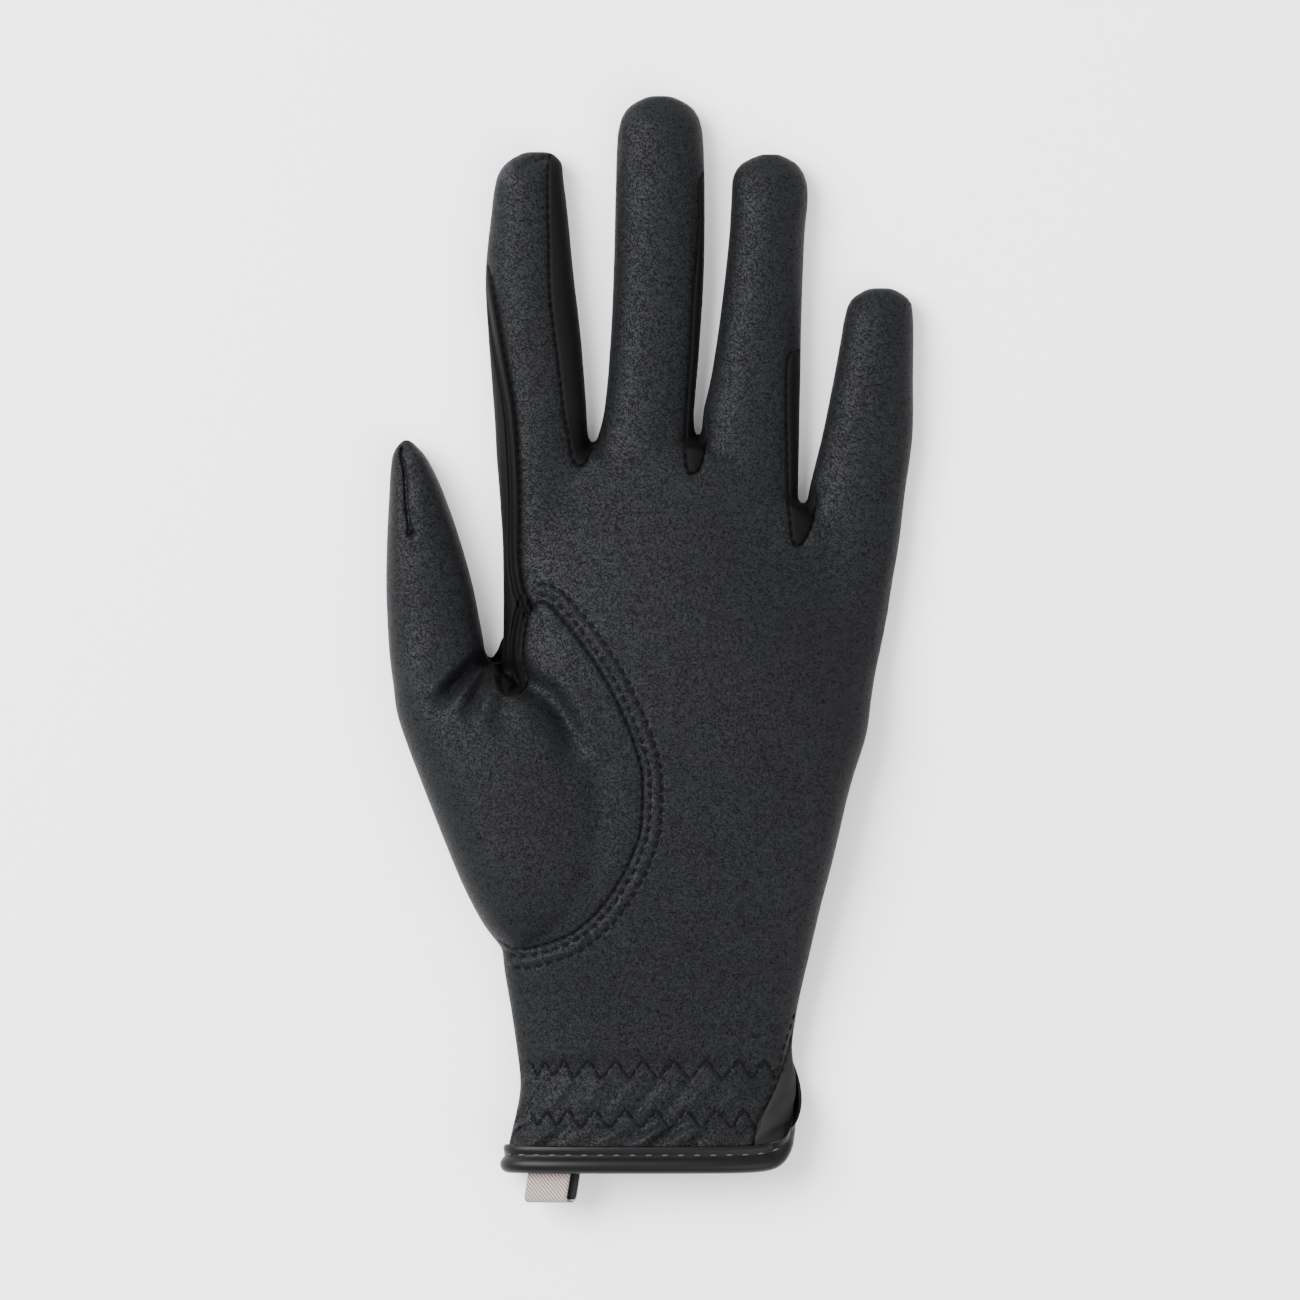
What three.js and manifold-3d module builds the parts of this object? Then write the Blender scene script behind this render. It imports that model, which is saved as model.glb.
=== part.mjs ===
// A left riding glove lying on its back, palm up: fingers along +Y, thumb towards -X, millimetres.
// Every wall is leather or stretch fabric, hollow inside and open at the cuff.
import * as THREE from "three";
import * as BufferGeometryUtils from "three/addons/utils/BufferGeometryUtils.js";
import Module from "manifold-3d";

const wasm = await Module();
wasm.setup();

// Hand sizes
const palmLength = 157.8; // cuff edge to the web between the index and the middle finger
const handWidth = 88.2; // across the knuckles
const handDepth = 21; // thickest part of the palm, lying empty
const cuffDepth = 14.5; // across the flattened wrist opening
const knuckleDepth = 12.5; // at the roots of the fingers
const knuckleDrop = 25.7; // how much nearer the cuff the little finger's root lies
const moundDepth = 22.5; // over the ball of the thumb

// Walls and seams
const wall = 1.2;
const seamGap = 0.3;
const splitHeight = 3.2; // the palm and the back meet at this height
const webRound = 3.4; // rounding of the webs between the fingers
const flatSink = 0.3; // share of a section's half depth that the floor presses flat

// Fingers
const indexLength = 69.9;
const indexWidth = 21.2;
const indexDepth = 12;
const middleLength = 82.2;
const middleWidth = 20.3;
const middleDepth = 12;
const ringLength = 71.2;
const ringWidth = 18.5;
const ringDepth = 11.6;
const littleLength = 57.2;
const littleWidth = 19;
const littleDepth = 11.2;
const sideSeamInset = 1.8; // how far a side seam lies inside a finger's outline

// Thumb
const thumbLength = 48.9;
const thumbWidth = 21.7;
const thumbDepth = 15;

// Cuff
const rollDiameter = 3.8;
const bandReach = 6.3; // from the cuff edge to the band's upper edge
const bandBevel = 0.2;
const ventDepth = 28; // how high the cuff edge climbs at the back
const ventAngle = -55; // degrees from the glove's right side round to its back
const ventSpread = 45; // degrees
const elasticTuck = 0.5; // how far the elastic draws the leather in
const gatherPitch = 6.7;
const gatherHeight = 0.35;

// Label
const labelWidth = 9.6;
const labelReach = 6.6; // how far it shows past the cuff edge
const labelTuck = 6; // how far it reaches into the cuff
const labelWall = 1.0;
const labelFold = 0.6; // clear space inside its fold
const labelAngle = 131; // degrees round the cuff from the glove's right side
const labelSkew = 0.14;
const labelSeat = 0.45; // clearance to the roll, which curves a little over the label's width

// Mesh steps
const handSegments = 28;
const handSteps = 18;
const fingerSegments = 10;
const fingerSteps = 10;
const thumbSegments = 18;
const thumbSteps = 20;
const bindingSegments = 40;
const rollTurns = 6;
const tallerThanAll = 60;
const underFloor = -1;

const degrees = Math.PI / 180;

// Places on the palm: across in shares of the hand width from the glove's middle line,
// along in shares of the palm length from the cuff edge.
const onHand = (across, along) => new THREE.Vector2(across * handWidth, along * palmLength);

// Section rows run from the root to the tip. Left and right are shares of the finger's width
// from its root's middle, along is a share of its length, depth a share of its depth.
const fingers = {
  index: {
    root: onHand(-0.276, 1.0), length: indexLength, width: indexWidth, depth: indexDepth,
    rows: [
      { along: -0.3, left: -0.37, right: 0.52, depth: 1.06 },
      { along: 0.0, left: -0.465, right: 0.5, depth: 1.02 },
      { along: 0.16, left: -0.495, right: 0.484, depth: 1.0 },
      { along: 0.415, left: -0.558, right: 0.421, depth: 1.0 },
      { along: 0.607, left: -0.589, right: 0.347, depth: 1.0 },
      { along: 0.8, left: -0.516, right: 0.274, depth: 0.96 },
      { along: 0.927, left: -0.442, right: 0.221, depth: 0.8 },
      { along: 0.974, left: -0.32, right: 0.19, depth: 0.58 },
    ],
    tip: { along: 1.0, across: -0.05 },
  },
  middle: {
    root: onHand(-0.02, 1.0), length: middleLength, width: middleWidth, depth: middleDepth,
    rows: [
      { along: -0.3, left: -0.48, right: 0.53, depth: 1.06 },
      { along: 0.0, left: -0.56, right: 0.56, depth: 1.02 },
      { along: 0.136, left: -0.43, right: 0.57, depth: 1.0 },
      { along: 0.3, left: -0.363, right: 0.626, depth: 1.0 },
      { along: 0.516, left: -0.319, right: 0.681, depth: 1.0 },
      { along: 0.734, left: -0.297, right: 0.692, depth: 0.98 },
      { along: 0.897, left: -0.253, right: 0.648, depth: 0.86 },
      { along: 0.951, left: -0.187, right: 0.582, depth: 0.72 },
      { along: 0.984, left: -0.05, right: 0.44, depth: 0.5 },
    ],
    tip: { along: 1.0, across: 0.18 },
  },
  ring: {
    root: onHand(0.253, 0.987), length: ringLength, width: ringWidth, depth: ringDepth,
    rows: [
      { along: -0.3, left: -0.58, right: 0.56, depth: 1.06 },
      { along: 0.0, left: -0.6, right: 0.59, depth: 1.02 },
      { along: 0.185, left: -0.57, right: 0.602, depth: 1.0 },
      { along: 0.31, left: -0.47, right: 0.614, depth: 1.0 },
      { along: 0.498, left: -0.361, right: 0.627, depth: 1.0 },
      { along: 0.749, left: -0.253, right: 0.663, depth: 0.98 },
      { along: 0.875, left: -0.217, right: 0.687, depth: 0.88 },
      { along: 0.937, left: -0.17, right: 0.63, depth: 0.74 },
      { along: 0.98, left: -0.02, right: 0.5, depth: 0.5 },
    ],
    tip: { along: 1.0, across: 0.25 },
  },
  little: {
    root: onHand(0.509, 0.887), length: littleLength, width: littleWidth, depth: littleDepth,
    rows: [
      { along: -0.37, left: -0.53, right: 0.365, depth: 1.1 },
      { along: 0.0, left: -0.565, right: 0.565, depth: 1.04 },
      { along: 0.195, left: -0.506, right: 0.635, depth: 1.0 },
      { along: 0.43, left: -0.341, right: 0.729, depth: 1.0 },
      { along: 0.664, left: -0.2, right: 0.735, depth: 0.98 },
      { along: 0.82, left: -0.106, right: 0.718, depth: 0.9 },
      { along: 0.898, left: -0.06, right: 0.7, depth: 0.8 },
      { along: 0.965, left: 0.04, right: 0.64, depth: 0.58 },
    ],
    tip: { along: 1.0, across: 0.33 },
  },
};

// The thumb above its crotch, in shares of its own sizes.
const thumbRoot = onHand(-0.537, 0.724);
const thumbRows = [
  { along: 0.0, left: -0.495, right: 0.54, depth: 1.06 },
  { along: 0.114, left: -0.515, right: 0.464, depth: 1.0 },
  { along: 0.342, left: -0.536, right: 0.361, depth: 0.98 },
  { along: 0.571, left: -0.526, right: 0.216, depth: 0.94 },
  { along: 0.753, left: -0.505, right: 0.072, depth: 0.84 },
  { along: 0.845, left: -0.485, right: -0.031, depth: 0.74 },
  { along: 0.936, left: -0.454, right: -0.15, depth: 0.56 },
  { along: 0.972, left: -0.42, right: -0.22, depth: 0.4 },
];
const thumbTip = { along: 1.0, across: -0.34 };

// The ball of the thumb below the crotch, in shares of the hand's sizes.
const moundRows = [
  { along: 0.318, left: -0.375, right: -0.285, depth: 0.5 },
  { along: 0.35, left: -0.42, right: -0.2, depth: 0.76 },
  { along: 0.406, left: -0.473, right: -0.095, depth: 0.92 },
  { along: 0.477, left: -0.526, right: -0.035, depth: 0.98 },
  { along: 0.547, left: -0.575, right: -0.03, depth: 1.0 },
  { along: 0.618, left: -0.623, right: -0.09, depth: 0.96 },
  { along: 0.653, left: -0.642, right: -0.16, depth: 0.9 },
  { along: 0.689, left: -0.65, right: -0.3, depth: 0.8 },
];
const moundTip = { along: 0.295, across: -0.33 };

// The hand from the cuff to the knuckles, in shares of the hand's sizes, with depths from the named ones.
const handRows = [
  { along: 0.0, left: -0.365, right: 0.35, depth: cuffDepth },
  { along: 0.031, left: -0.358, right: 0.358, depth: cuffDepth },
  { along: 0.088, left: -0.337, right: 0.372, depth: cuffDepth },
  { along: 0.123, left: -0.329, right: 0.365, depth: cuffDepth },
  { along: 0.158, left: -0.334, right: 0.36, depth: cuffDepth },
  { along: 0.229, left: -0.352, right: 0.377, depth: cuffDepth * 1.08 },
  { along: 0.3, left: -0.372, right: 0.403, depth: cuffDepth * 1.22 },
  { along: 0.371, left: -0.375, right: 0.43, depth: handDepth * 0.93 },
  { along: 0.441, left: -0.38, right: 0.463, depth: handDepth * 0.99 },
  { along: 0.547, left: -0.38, right: 0.506, depth: handDepth },
  { along: 0.653, left: -0.375, right: 0.547, depth: handDepth * 0.98 },
  { along: 0.76, left: -0.372, right: 0.562, depth: handDepth * 0.9 },
  { along: 0.83, left: -0.372, right: 0.573, depth: handDepth * 0.8 },
  { along: 0.9, left: -0.375, right: 0.59, depth: handDepth * 0.7 },
  { along: 0.958, left: -0.382, right: 0.605, depth: knuckleDepth * 1.05 },
  { along: 1.0, left: -0.387, right: 0.615, depth: knuckleDepth },
];

// How the knuckle line drops from the index finger's side to the little finger's, in shares of the
// knuckle drop, against the share of the hand's width.
const knuckleLine = [
  { across: 0, drop: 0 },
  { across: 0.235, drop: 0.0 },
  { across: 0.5, drop: -0.09 },
  { across: 0.77, drop: 0.46 },
  { across: 1, drop: 1 },
];

// Folds: a valley along a line, in shares of the hand's sizes. A raised fold has a negative depth.
const foldDepth = 2.6;
const foldWidth = 2.6;
const folds = [
  // The deep valley from the crotch across the thumb's root
  { from: onHand(-0.425, 0.725), to: onHand(-0.56, 0.645), width: 1.0, depth: 1.0 },
  // A softer one beside it, and the ridge between them
  { from: onHand(-0.412, 0.712), to: onHand(-0.46, 0.625), width: 1.1, depth: 0.6 },
  { from: onHand(-0.44, 0.7), to: onHand(-0.52, 0.62), width: 1.0, depth: -0.35 },
  // The valley and ridge from the crotch over the ball of the thumb
  { from: onHand(-0.315, 0.69), to: onHand(-0.19, 0.6), width: 1.0, depth: 0.9 },
  { from: onHand(-0.27, 0.69), to: onHand(-0.16, 0.61), width: 1.0, depth: -0.4 },
  // The hollow in the crotch itself
  { from: onHand(-0.38, 0.7), to: onHand(-0.34, 0.68), width: 1.5, depth: 1.1 },
];

// The short dart at the thumb's tip, in shares of the thumb's sizes.
const dart = { from: [-0.38, 0.98], to: [-0.29, 0.58], width: 0.9, depth: 0.9 };

// Seams in the palm, in shares of the hand's sizes.
const gussetSeam = [
  onHand(-0.41, 0.73), onHand(-0.387, 0.7), onHand(-0.367, 0.68), onHand(-0.334, 0.676),
  onHand(-0.308, 0.692), onHand(-0.318, 0.72), onHand(-0.316, 0.752), onHand(-0.304, 0.788),
  onHand(-0.283, 0.806), onHand(-0.256, 0.803), onHand(-0.17, 0.747), onHand(-0.094, 0.679),
  onHand(-0.025, 0.583), onHand(-0.018, 0.526), onHand(-0.03, 0.47), onHand(-0.101, 0.392),
  onHand(-0.19, 0.342), onHand(-0.291, 0.32), onHand(-0.344, 0.318), onHand(-0.415, 0.345),
  onHand(-0.46, 0.37),
];
const gussetOutside = [
  onHand(-0.62, 0.37), onHand(-0.8, 0.6), onHand(-0.8, 1.08), onHand(-0.5, 1.08), onHand(-0.43, 0.8),
];
// The index finger's outer seam. It ends inside the gusset.
const sideSeam = [
  onHand(-0.44, 1.3), onHand(-0.411, 1.284), onHand(-0.397, 1.259), onHand(-0.367, 1.165),
  onHand(-0.34, 1.078), onHand(-0.33, 1.0), onHand(-0.327, 0.93), onHand(-0.327, 0.87),
  onHand(-0.315, 0.825), onHand(-0.29, 0.795),
];
const sideOutside = [
  onHand(-0.29, 0.66), onHand(-0.41, 0.66), onHand(-0.42, 0.78), onHand(-0.45, 1.0), onHand(-0.47, 1.2),
];
// The palm's stitched right edge at the cuff.
const cuffSeam = [
  onHand(0.42, 0.24), onHand(0.34, 0.228), onHand(0.325, 0.2), onHand(0.32, 0.17), onHand(0.315, 0.147),
  onHand(0.303, 0.115), onHand(0.28, 0.075), onHand(0.265, 0.04), onHand(0.262, -0.02),
];
const cuffOutside = [onHand(0.5, -0.02), onHand(0.5, 0.24)];
// Behind the thumb its leather meets the back along this line.
const thumbBackSeam = [
  onHand(-0.40, 0.76), onHand(-0.36, 0.7), onHand(-0.33, 0.6), onHand(-0.33, 0.48), onHand(-0.36, 0.39),
  onHand(-0.46, 0.36),
];
const thumbBackOutside = [onHand(-0.62, 0.36), onHand(-0.8, 0.6), onHand(-0.8, 1.08), onHand(-0.5, 1.08)];

// Side strips of the fingers: width in shares of the finger's width, along in shares of its length.
const fourchettes = {
  fourchette_index_middle: [
    {
      finger: "index", side: "right", web: 0.0,
      strip: [[0.965, 0.11], [0.89, 0.17], [0.72, 0.22], [0.56, 0.265], [0.4, 0.27], [0.1, 0.2]],
    },
    {
      finger: "middle", side: "left", web: 0.0,
      strip: [[0.9, 0], [0.7, 0], [0.5, 0], [0.3, 0], [0.136, 0.0], [0.07, 0.03]],
    },
  ],
  fourchette_middle_ring: [
    {
      finger: "middle", side: "right", web: -0.01,
      strip: [[0.88, 0], [0.7, 0.08], [0.5, 0.1], [0.3, 0.09], [0.1, 0.1]],
    },
    {
      finger: "ring", side: "left", web: 0.0,
      strip: [[0.9, 0], [0.7, 0], [0.5, 0], [0.31, 0], [0.185, 0], [0.1, 0.06]],
    },
  ],
  fourchette_ring_little: [
    {
      finger: "ring", side: "right", web: -0.2,
      strip: [[0.39, 0.14], [0.3, 0.17], [0.15, 0.15], [0.0, 0.13], [-0.12, 0.1]],
    },
    {
      finger: "little", side: "left", web: 0.0,
      strip: [[0.85, 0], [0.6, 0], [0.4, 0.09], [0.2, 0.14], [0.08, 0.1]],
    },
  ],
};

function mix(a, b, t) {
  return a + (b - a) * t;
}

// A smooth curve through every column of some rows, in the order of one of them.
function smoothRows(rows, key) {
  const columns = Object.keys(rows[0]);
  const values = rows.flatMap((row) => columns.map((column) => row[column]));
  const places = rows.map((row) => row[key]);
  const curve = new THREE.CubicInterpolant(places, values, columns.length);
  return (place) => {
    const found = curve.evaluate(THREE.MathUtils.clamp(place, places[0], places.at(-1)));
    return Object.fromEntries(columns.map((column, i) => [column, found[i]]));
  };
}

function foldDrop(x, y) {
  let drop = 0;
  const place = new THREE.Vector2(x, y);
  for (const fold of folds) {
    const line = fold.to.clone().sub(fold.from);
    const t = THREE.MathUtils.clamp(place.clone().sub(fold.from).dot(line) / line.lengthSq(), 0, 1);
    const distance = place.distanceTo(fold.from.clone().addScaledVector(line, t));
    const fade = 1 - THREE.MathUtils.smoothstep(t, 0.55, 1) * 0.85;
    drop += foldDepth * fold.depth * fade * Math.exp(-((distance / (foldWidth * fold.width)) ** 2));
  }
  return drop;
}

function dartDrop(x, y) {
  const across = (x - thumbRoot.x) / thumbWidth;
  const along = (y - thumbRoot.y) / thumbLength;
  const t = (along - dart.from[1]) / (dart.to[1] - dart.from[1]);
  if (t < 0 || t > 1) {
    return 0;
  }
  const distance = (across - mix(dart.from[0], dart.to[0], t)) * thumbWidth;
  return dart.depth * Math.exp(-((distance / dart.width) ** 2));
}

// Two drawn-in lines at the elastic, with gathers below and between them.
const elasticLines = [0.148, 0.078];
function elasticDrop(x, y) {
  const along = y / palmLength;
  let drop = 0;
  for (const line of elasticLines) {
    drop += elasticTuck * Math.exp(-((((along - line) * palmLength) / 2.4) ** 2));
  }
  const inside = THREE.MathUtils.smoothstep(along, 0.03, 0.06)
    * (1 - THREE.MathUtils.smoothstep(along, 0.14, 0.165));
  return drop + inside * gatherHeight * Math.sin(((x + 0.45 * y) / gatherPitch) * 2 * Math.PI);
}

// How far the cuff's edge rises at an angle round it: the vent at the back.
function ventRise(angle) {
  const turn = THREE.MathUtils.euclideanModulo(angle / degrees - ventAngle + 180, 360) - 180;
  return ventDepth * Math.exp(-((turn / ventSpread) ** 2));
}

// One section's points, as a soft oval pressed flat by the floor. Inset moves it inwards.
function sectionPoint(row, angle, squareness, inset) {
  const halfWidth = (row.right - row.left) / 2 - inset;
  const half = row.depth / (2 - flatSink);
  const floor = Math.max(row.floor, 0);
  const middle = floor + row.depth - half;
  const c = Math.cos(angle);
  const s = Math.sin(angle);
  const across = Math.sign(c) * Math.abs(c) ** squareness;
  const up = Math.sign(s) * Math.abs(s) ** squareness;
  return {
    x: (row.left + row.right) / 2 + Math.max(halfWidth, 0.05) * across,
    z: Math.max(middle + Math.max(half - inset, 0.05) * up, floor + inset),
    across,
    up,
  };
}

// A closed skin over rings of points, closed at both ends by a point each.
function skin(rings, start, end) {
  const count = rings[0].length;
  const positions = [start, ...rings.flat(), end].flatMap((point) => [point.x, point.y, point.z]);
  const at = (ring, i) => 1 + ring * count + (i % count);
  const last = rings.length * count + 1;
  const index = [];
  for (let i = 0; i < count; i += 1) {
    index.push(0, at(0, i), at(0, i + 1));
    index.push(last, at(rings.length - 1, i + 1), at(rings.length - 1, i));
  }
  for (let ring = 0; ring < rings.length - 1; ring += 1) {
    for (let i = 0; i < count; i += 1) {
      index.push(at(ring, i), at(ring + 1, i), at(ring + 1, i + 1));
      index.push(at(ring, i), at(ring + 1, i + 1), at(ring, i + 1));
    }
  }
  const geometry = new THREE.BufferGeometry();
  geometry.setAttribute("position", new THREE.Float32BufferAttribute(positions, 3));
  geometry.setIndex(index);
  return geometry;
}

function toSolid(geometry) {
  const plain = geometry.clone();
  plain.deleteAttribute("normal");
  plain.deleteAttribute("uv");
  const merged = BufferGeometryUtils.mergeVertices(plain, 1e-4);
  return new wasm.Manifold(new wasm.Mesh({
    numProp: 3,
    vertProperties: new Float32Array(merged.attributes.position.array),
    triVerts: new Uint32Array(merged.index.array),
  }));
}

function toGeometry(solid) {
  const mesh = solid.getMesh();
  const geometry = new THREE.BufferGeometry();
  geometry.setAttribute("position", new THREE.BufferAttribute(mesh.vertProperties, 3));
  geometry.setIndex(new THREE.BufferAttribute(mesh.triVerts, 1));
  geometry.computeVertexNormals();
  return geometry;
}

const angles = (count) => Array.from({ length: count }, (_, i) => (i / count) * 2 * Math.PI);

function ovalEnd(row, y) {
  return { x: (row.left + row.right) / 2, y, z: row.floor + row.depth * 0.45 };
}

// A finger or thumb tube from rows in millimetres: y, left, right, depth and the floor's height.
// The rings stand closer together towards the tip, where it rounds off.
function tube(rows, startTip, endTip, { segments, steps, crowding, squareness, inset, drop }) {
  const rowAt = smoothRows(rows, "y");
  const first = rows[0].y;
  const last = rows.at(-1).y;
  const rings = [];
  for (let step = 0; step <= steps; step += 1) {
    const y = mix(first, last, 1 - (1 - step / steps) ** crowding);
    const row = rowAt(y);
    rings.push(angles(segments).map((angle) => {
      const point = sectionPoint(row, angle, squareness, inset);
      const fall = drop ? drop(point.x, y) * THREE.MathUtils.smoothstep(point.up, 0.1, 0.6) : 0;
      return { x: point.x, y, z: point.z - fall };
    }));
  }
  const start = startTip ?? ovalEnd(rowAt(first), first);
  return skin(rings, start, { ...endTip, y: endTip.y - inset });
}

function fingerRows(finger) {
  return finger.rows.map((row) => ({
    y: finger.root.y + row.along * finger.length,
    left: finger.root.x + row.left * finger.width,
    right: finger.root.x + row.right * finger.width,
    depth: row.depth * finger.depth,
    floor: Math.max(0, (1 - row.depth) * finger.depth * 0.35),
  }));
}

function fingerTube(finger, inset) {
  const rows = fingerRows(finger);
  const end = {
    x: finger.root.x + finger.tip.across * finger.width,
    y: finger.root.y + finger.tip.along * finger.length,
    z: finger.depth * 0.42,
  };
  return toSolid(tube(rows, null, end, {
    segments: fingerSegments, steps: fingerSteps, crowding: 1.8, squareness: 0.92, inset,
  }));
}

// The thumb and the ball below it are one tube, from the wrist to the thumb's tip.
function thumbTube(inset) {
  const below = moundRows.map((row) => ({
    y: row.along * palmLength,
    left: row.left * handWidth,
    right: row.right * handWidth,
    depth: row.depth * moundDepth,
    floor: Math.max(0, (1 - row.depth) * moundDepth * 0.3),
  }));
  const above = thumbRows.map((row) => ({
    y: thumbRoot.y + row.along * thumbLength,
    left: thumbRoot.x + row.left * thumbWidth,
    right: thumbRoot.x + row.right * thumbWidth,
    depth: row.depth * thumbDepth,
    floor: Math.max(0, (1 - row.depth) * thumbDepth * 0.35),
  }));
  const start = {
    x: moundTip.across * handWidth,
    y: moundTip.along * palmLength + inset,
    z: moundDepth * 0.35,
  };
  const end = {
    x: thumbRoot.x + thumbTip.across * thumbWidth,
    y: thumbRoot.y + thumbTip.along * thumbLength,
    z: thumbDepth * 0.42,
  };
  return toSolid(tube([...below, ...above], start, end, {
    segments: thumbSegments,
    steps: thumbSteps,
    crowding: 1.2,
    squareness: 0.88,
    inset,
    drop: (x, y) => foldDrop(x, y) + dartDrop(x, y),
  }));
}

const bindingLift = rollDiameter / 2 - wall / 2; // the roll stands out this far past the leather
const handSquareness = 0.8;

const handRow = smoothRows(handRows, "along");
const knuckleAt = smoothRows(knuckleLine, "across");

// A point of the hand's surface. Along runs from the cuff edge to the knuckles.
function handPoint(along, angle, inset, extraY = 0, thin = 1) {
  const shares = handRow(along);
  const depth = shares.depth * thin;
  const lift = bindingLift * (1 - THREE.MathUtils.smoothstep(along * palmLength, bandReach, bandReach * 4));
  const row = {
    left: shares.left * handWidth,
    right: shares.right * handWidth,
    depth,
    floor: lift + (shares.depth - depth) * 0.4,
  };
  const point = sectionPoint(row, angle, handSquareness, inset);
  const slant = THREE.MathUtils.smoothstep(along, 0.5, 1.0);
  const y = along * palmLength - slant * knuckleDrop * knuckleAt((point.across + 1) / 2).drop;
  const cuffShare = Math.max(0, 1 - along / 0.35);
  const rise = ventRise(angle) * cuffShare;
  const upper = THREE.MathUtils.smoothstep(point.up, 0.0, 0.5);
  const fall = (foldDrop(point.x, y) + elasticDrop(point.x, y)) * upper;
  return new THREE.Vector3(point.x, y + rise + extraY, point.z - fall);
}

// The leather starts above the roll, further up where the edge climbs.
function edgeStretch(angle) {
  const small = 0.02;
  const here = handPoint(0, angle - small, 0);
  const next = handPoint(0, angle + small, 0);
  const climb = next.y - here.y;
  const run = Math.hypot(next.x - here.x, next.z - here.z);
  return Math.hypot(1, climb / run);
}

function handTube(inset) {
  const rings = [];
  const mouthReach = inset > 0 ? -3 : rollDiameter + seamGap;
  for (let step = 0; step <= handSteps; step += 1) {
    const along = (step / handSteps) ** 1.15 * handRows.at(-1).along;
    const fade = Math.max(0, 1 - along / 0.12);
    rings.push(angles(handSegments).map((angle) => (
      handPoint(along, angle, inset, mouthReach * edgeStretch(angle) * fade)
    )));
  }
  // The webs are rounded off.
  const top = handRows.at(-1).along;
  const reach = webRound - inset;
  for (const turn of [30, 55, 78]) {
    rings.push(angles(handSegments).map((angle) => (
      handPoint(top, angle, inset, reach * Math.sin(turn * degrees), Math.cos(turn * degrees))
    )));
  }
  const centre = (ring) => {
    const sum = ring.reduce((total, point) => total.add(point), new THREE.Vector3());
    return sum.divideScalar(ring.length);
  };
  return toSolid(skin(rings, centre(rings[0]), centre(rings.at(-1))));
}

// The binding's section, outwards from the leather's face and up from the cuff edge.
// Clearance grows it on every side.
function bindingSection(clearance) {
  const radius = rollDiameter / 2 + clearance;
  const across = -wall / 2;
  const up = rollDiameter / 2;
  const outside = across + radius;
  const inside = seamGap - clearance;
  const top = bandReach + clearance;
  const meet = Math.acos((inside - across) / radius);
  const points = [[outside, up], [outside, top - bandBevel], [outside - bandBevel, top], [inside, top]];
  for (let i = 0; i < rollTurns; i += 1) {
    const turn = mix(meet, 2 * Math.PI, i / rollTurns);
    points.push([across + radius * Math.cos(turn), up + radius * Math.sin(turn)]);
  }
  return points;
}

// The cuff edge's own frame at an angle round it: out from the leather, up into the glove, along the edge.
function edgeFrame(angle) {
  const small = 0.02;
  const along = handPoint(0, angle + small, 0).sub(handPoint(0, angle - small, 0)).normalize();
  const out = new THREE.Vector3(along.z, 0, -along.x).normalize();
  const up = new THREE.Vector3().crossVectors(along, out).normalize();
  if (up.y < 0) {
    up.negate();
  }
  return { place: handPoint(0, angle, 0), out, up, along };
}

function bindingGeometry(clearance) {
  const section = bindingSection(clearance);
  const rings = angles(bindingSegments).map((angle) => {
    const { place, out, up } = edgeFrame(angle);
    return section.map(([n, w]) => place.clone().addScaledVector(out, n).addScaledVector(up, w));
  });
  const count = section.length;
  const positions = rings.flat().flatMap((point) => [point.x, point.y, point.z]);
  const at = (ring, i) => (ring % rings.length) * count + (i % count);
  const index = [];
  for (let ring = 0; ring < rings.length; ring += 1) {
    for (let i = 0; i < count; i += 1) {
      index.push(at(ring, i), at(ring + 1, i + 1), at(ring + 1, i));
      index.push(at(ring, i), at(ring, i + 1), at(ring + 1, i + 1));
    }
  }
  const geometry = new THREE.BufferGeometry();
  geometry.setAttribute("position", new THREE.Float32BufferAttribute(positions, 3));
  geometry.setIndex(index);
  return geometry;
}

// Upright prism over a closed outline in plan.
function prism(outline, from, to) {
  const shape = new THREE.Shape(outline);
  const geometry = new THREE.ExtrudeGeometry(shape, { depth: to - from, bevelEnabled: false });
  geometry.translate(0, 0, from);
  return toSolid(geometry);
}

const smoothLine = (points) => (
  new THREE.SplineCurve(points).getSpacedPoints(Math.round(points.length * 1.5))
);

// The outline of a line made as thick as a seam's gap.
function thickLine(points) {
  const sides = [[], []];
  points.forEach((point, i) => {
    const before = points[Math.max(i - 1, 0)];
    const after = points[Math.min(i + 1, points.length - 1)];
    const along = after.clone().sub(before).normalize();
    const across = new THREE.Vector2(-along.y, along.x).multiplyScalar(seamGap / 2);
    sides[0].push(point.clone().add(across));
    sides[1].push(point.clone().sub(across));
  });
  return [...sides[0], ...sides[1].reverse()];
}

function fingerEdge(finger, side, along) {
  const row = smoothRows(fingerRows(finger), "y")(finger.root.y + along * finger.length);
  return new THREE.Vector2(row[side], row.y);
}

// One side strip's seam, from the fingertip down to the web.
function stripSeam({ finger, side, strip, web }) {
  const digit = fingers[finger];
  const inward = side === "right" ? -1 : 1;
  const seam = strip.map(([along, share]) => {
    const edge = fingerEdge(digit, side, along);
    return edge.add(new THREE.Vector2(inward * Math.max(share * digit.width, sideSeamInset), 0));
  });
  const top = fingerEdge(digit, side, strip[0][0]);
  const exit = top.add(new THREE.Vector2(-inward * webRound * 0.6, 0));
  const bottom = fingerEdge(digit, side, web);
  return { exit, seam, bottom };
}

function fourchetteRegion([first, second]) {
  const down = stripSeam(first);
  const up = stripSeam(second);
  const middle = down.bottom.clone().add(up.bottom).divideScalar(2);
  middle.y = Math.min(down.bottom.y, up.bottom.y) - webRound * 0.3;
  const web = [-1, 0, 1].map((side) => (
    new THREE.Vector2(middle.x + side * sideSeamInset, middle.y + Math.abs(side) * webRound * 0.2)
  ));
  const seam = smoothLine([...down.seam, ...web, ...up.seam.toReversed()]);
  return [down.exit, ...seam, up.exit];
}

const column = (outline) => prism(outline, underFloor, tallerThanAll);
const curtain = (points, from, to) => prism(thickLine(points), from, to);

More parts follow.
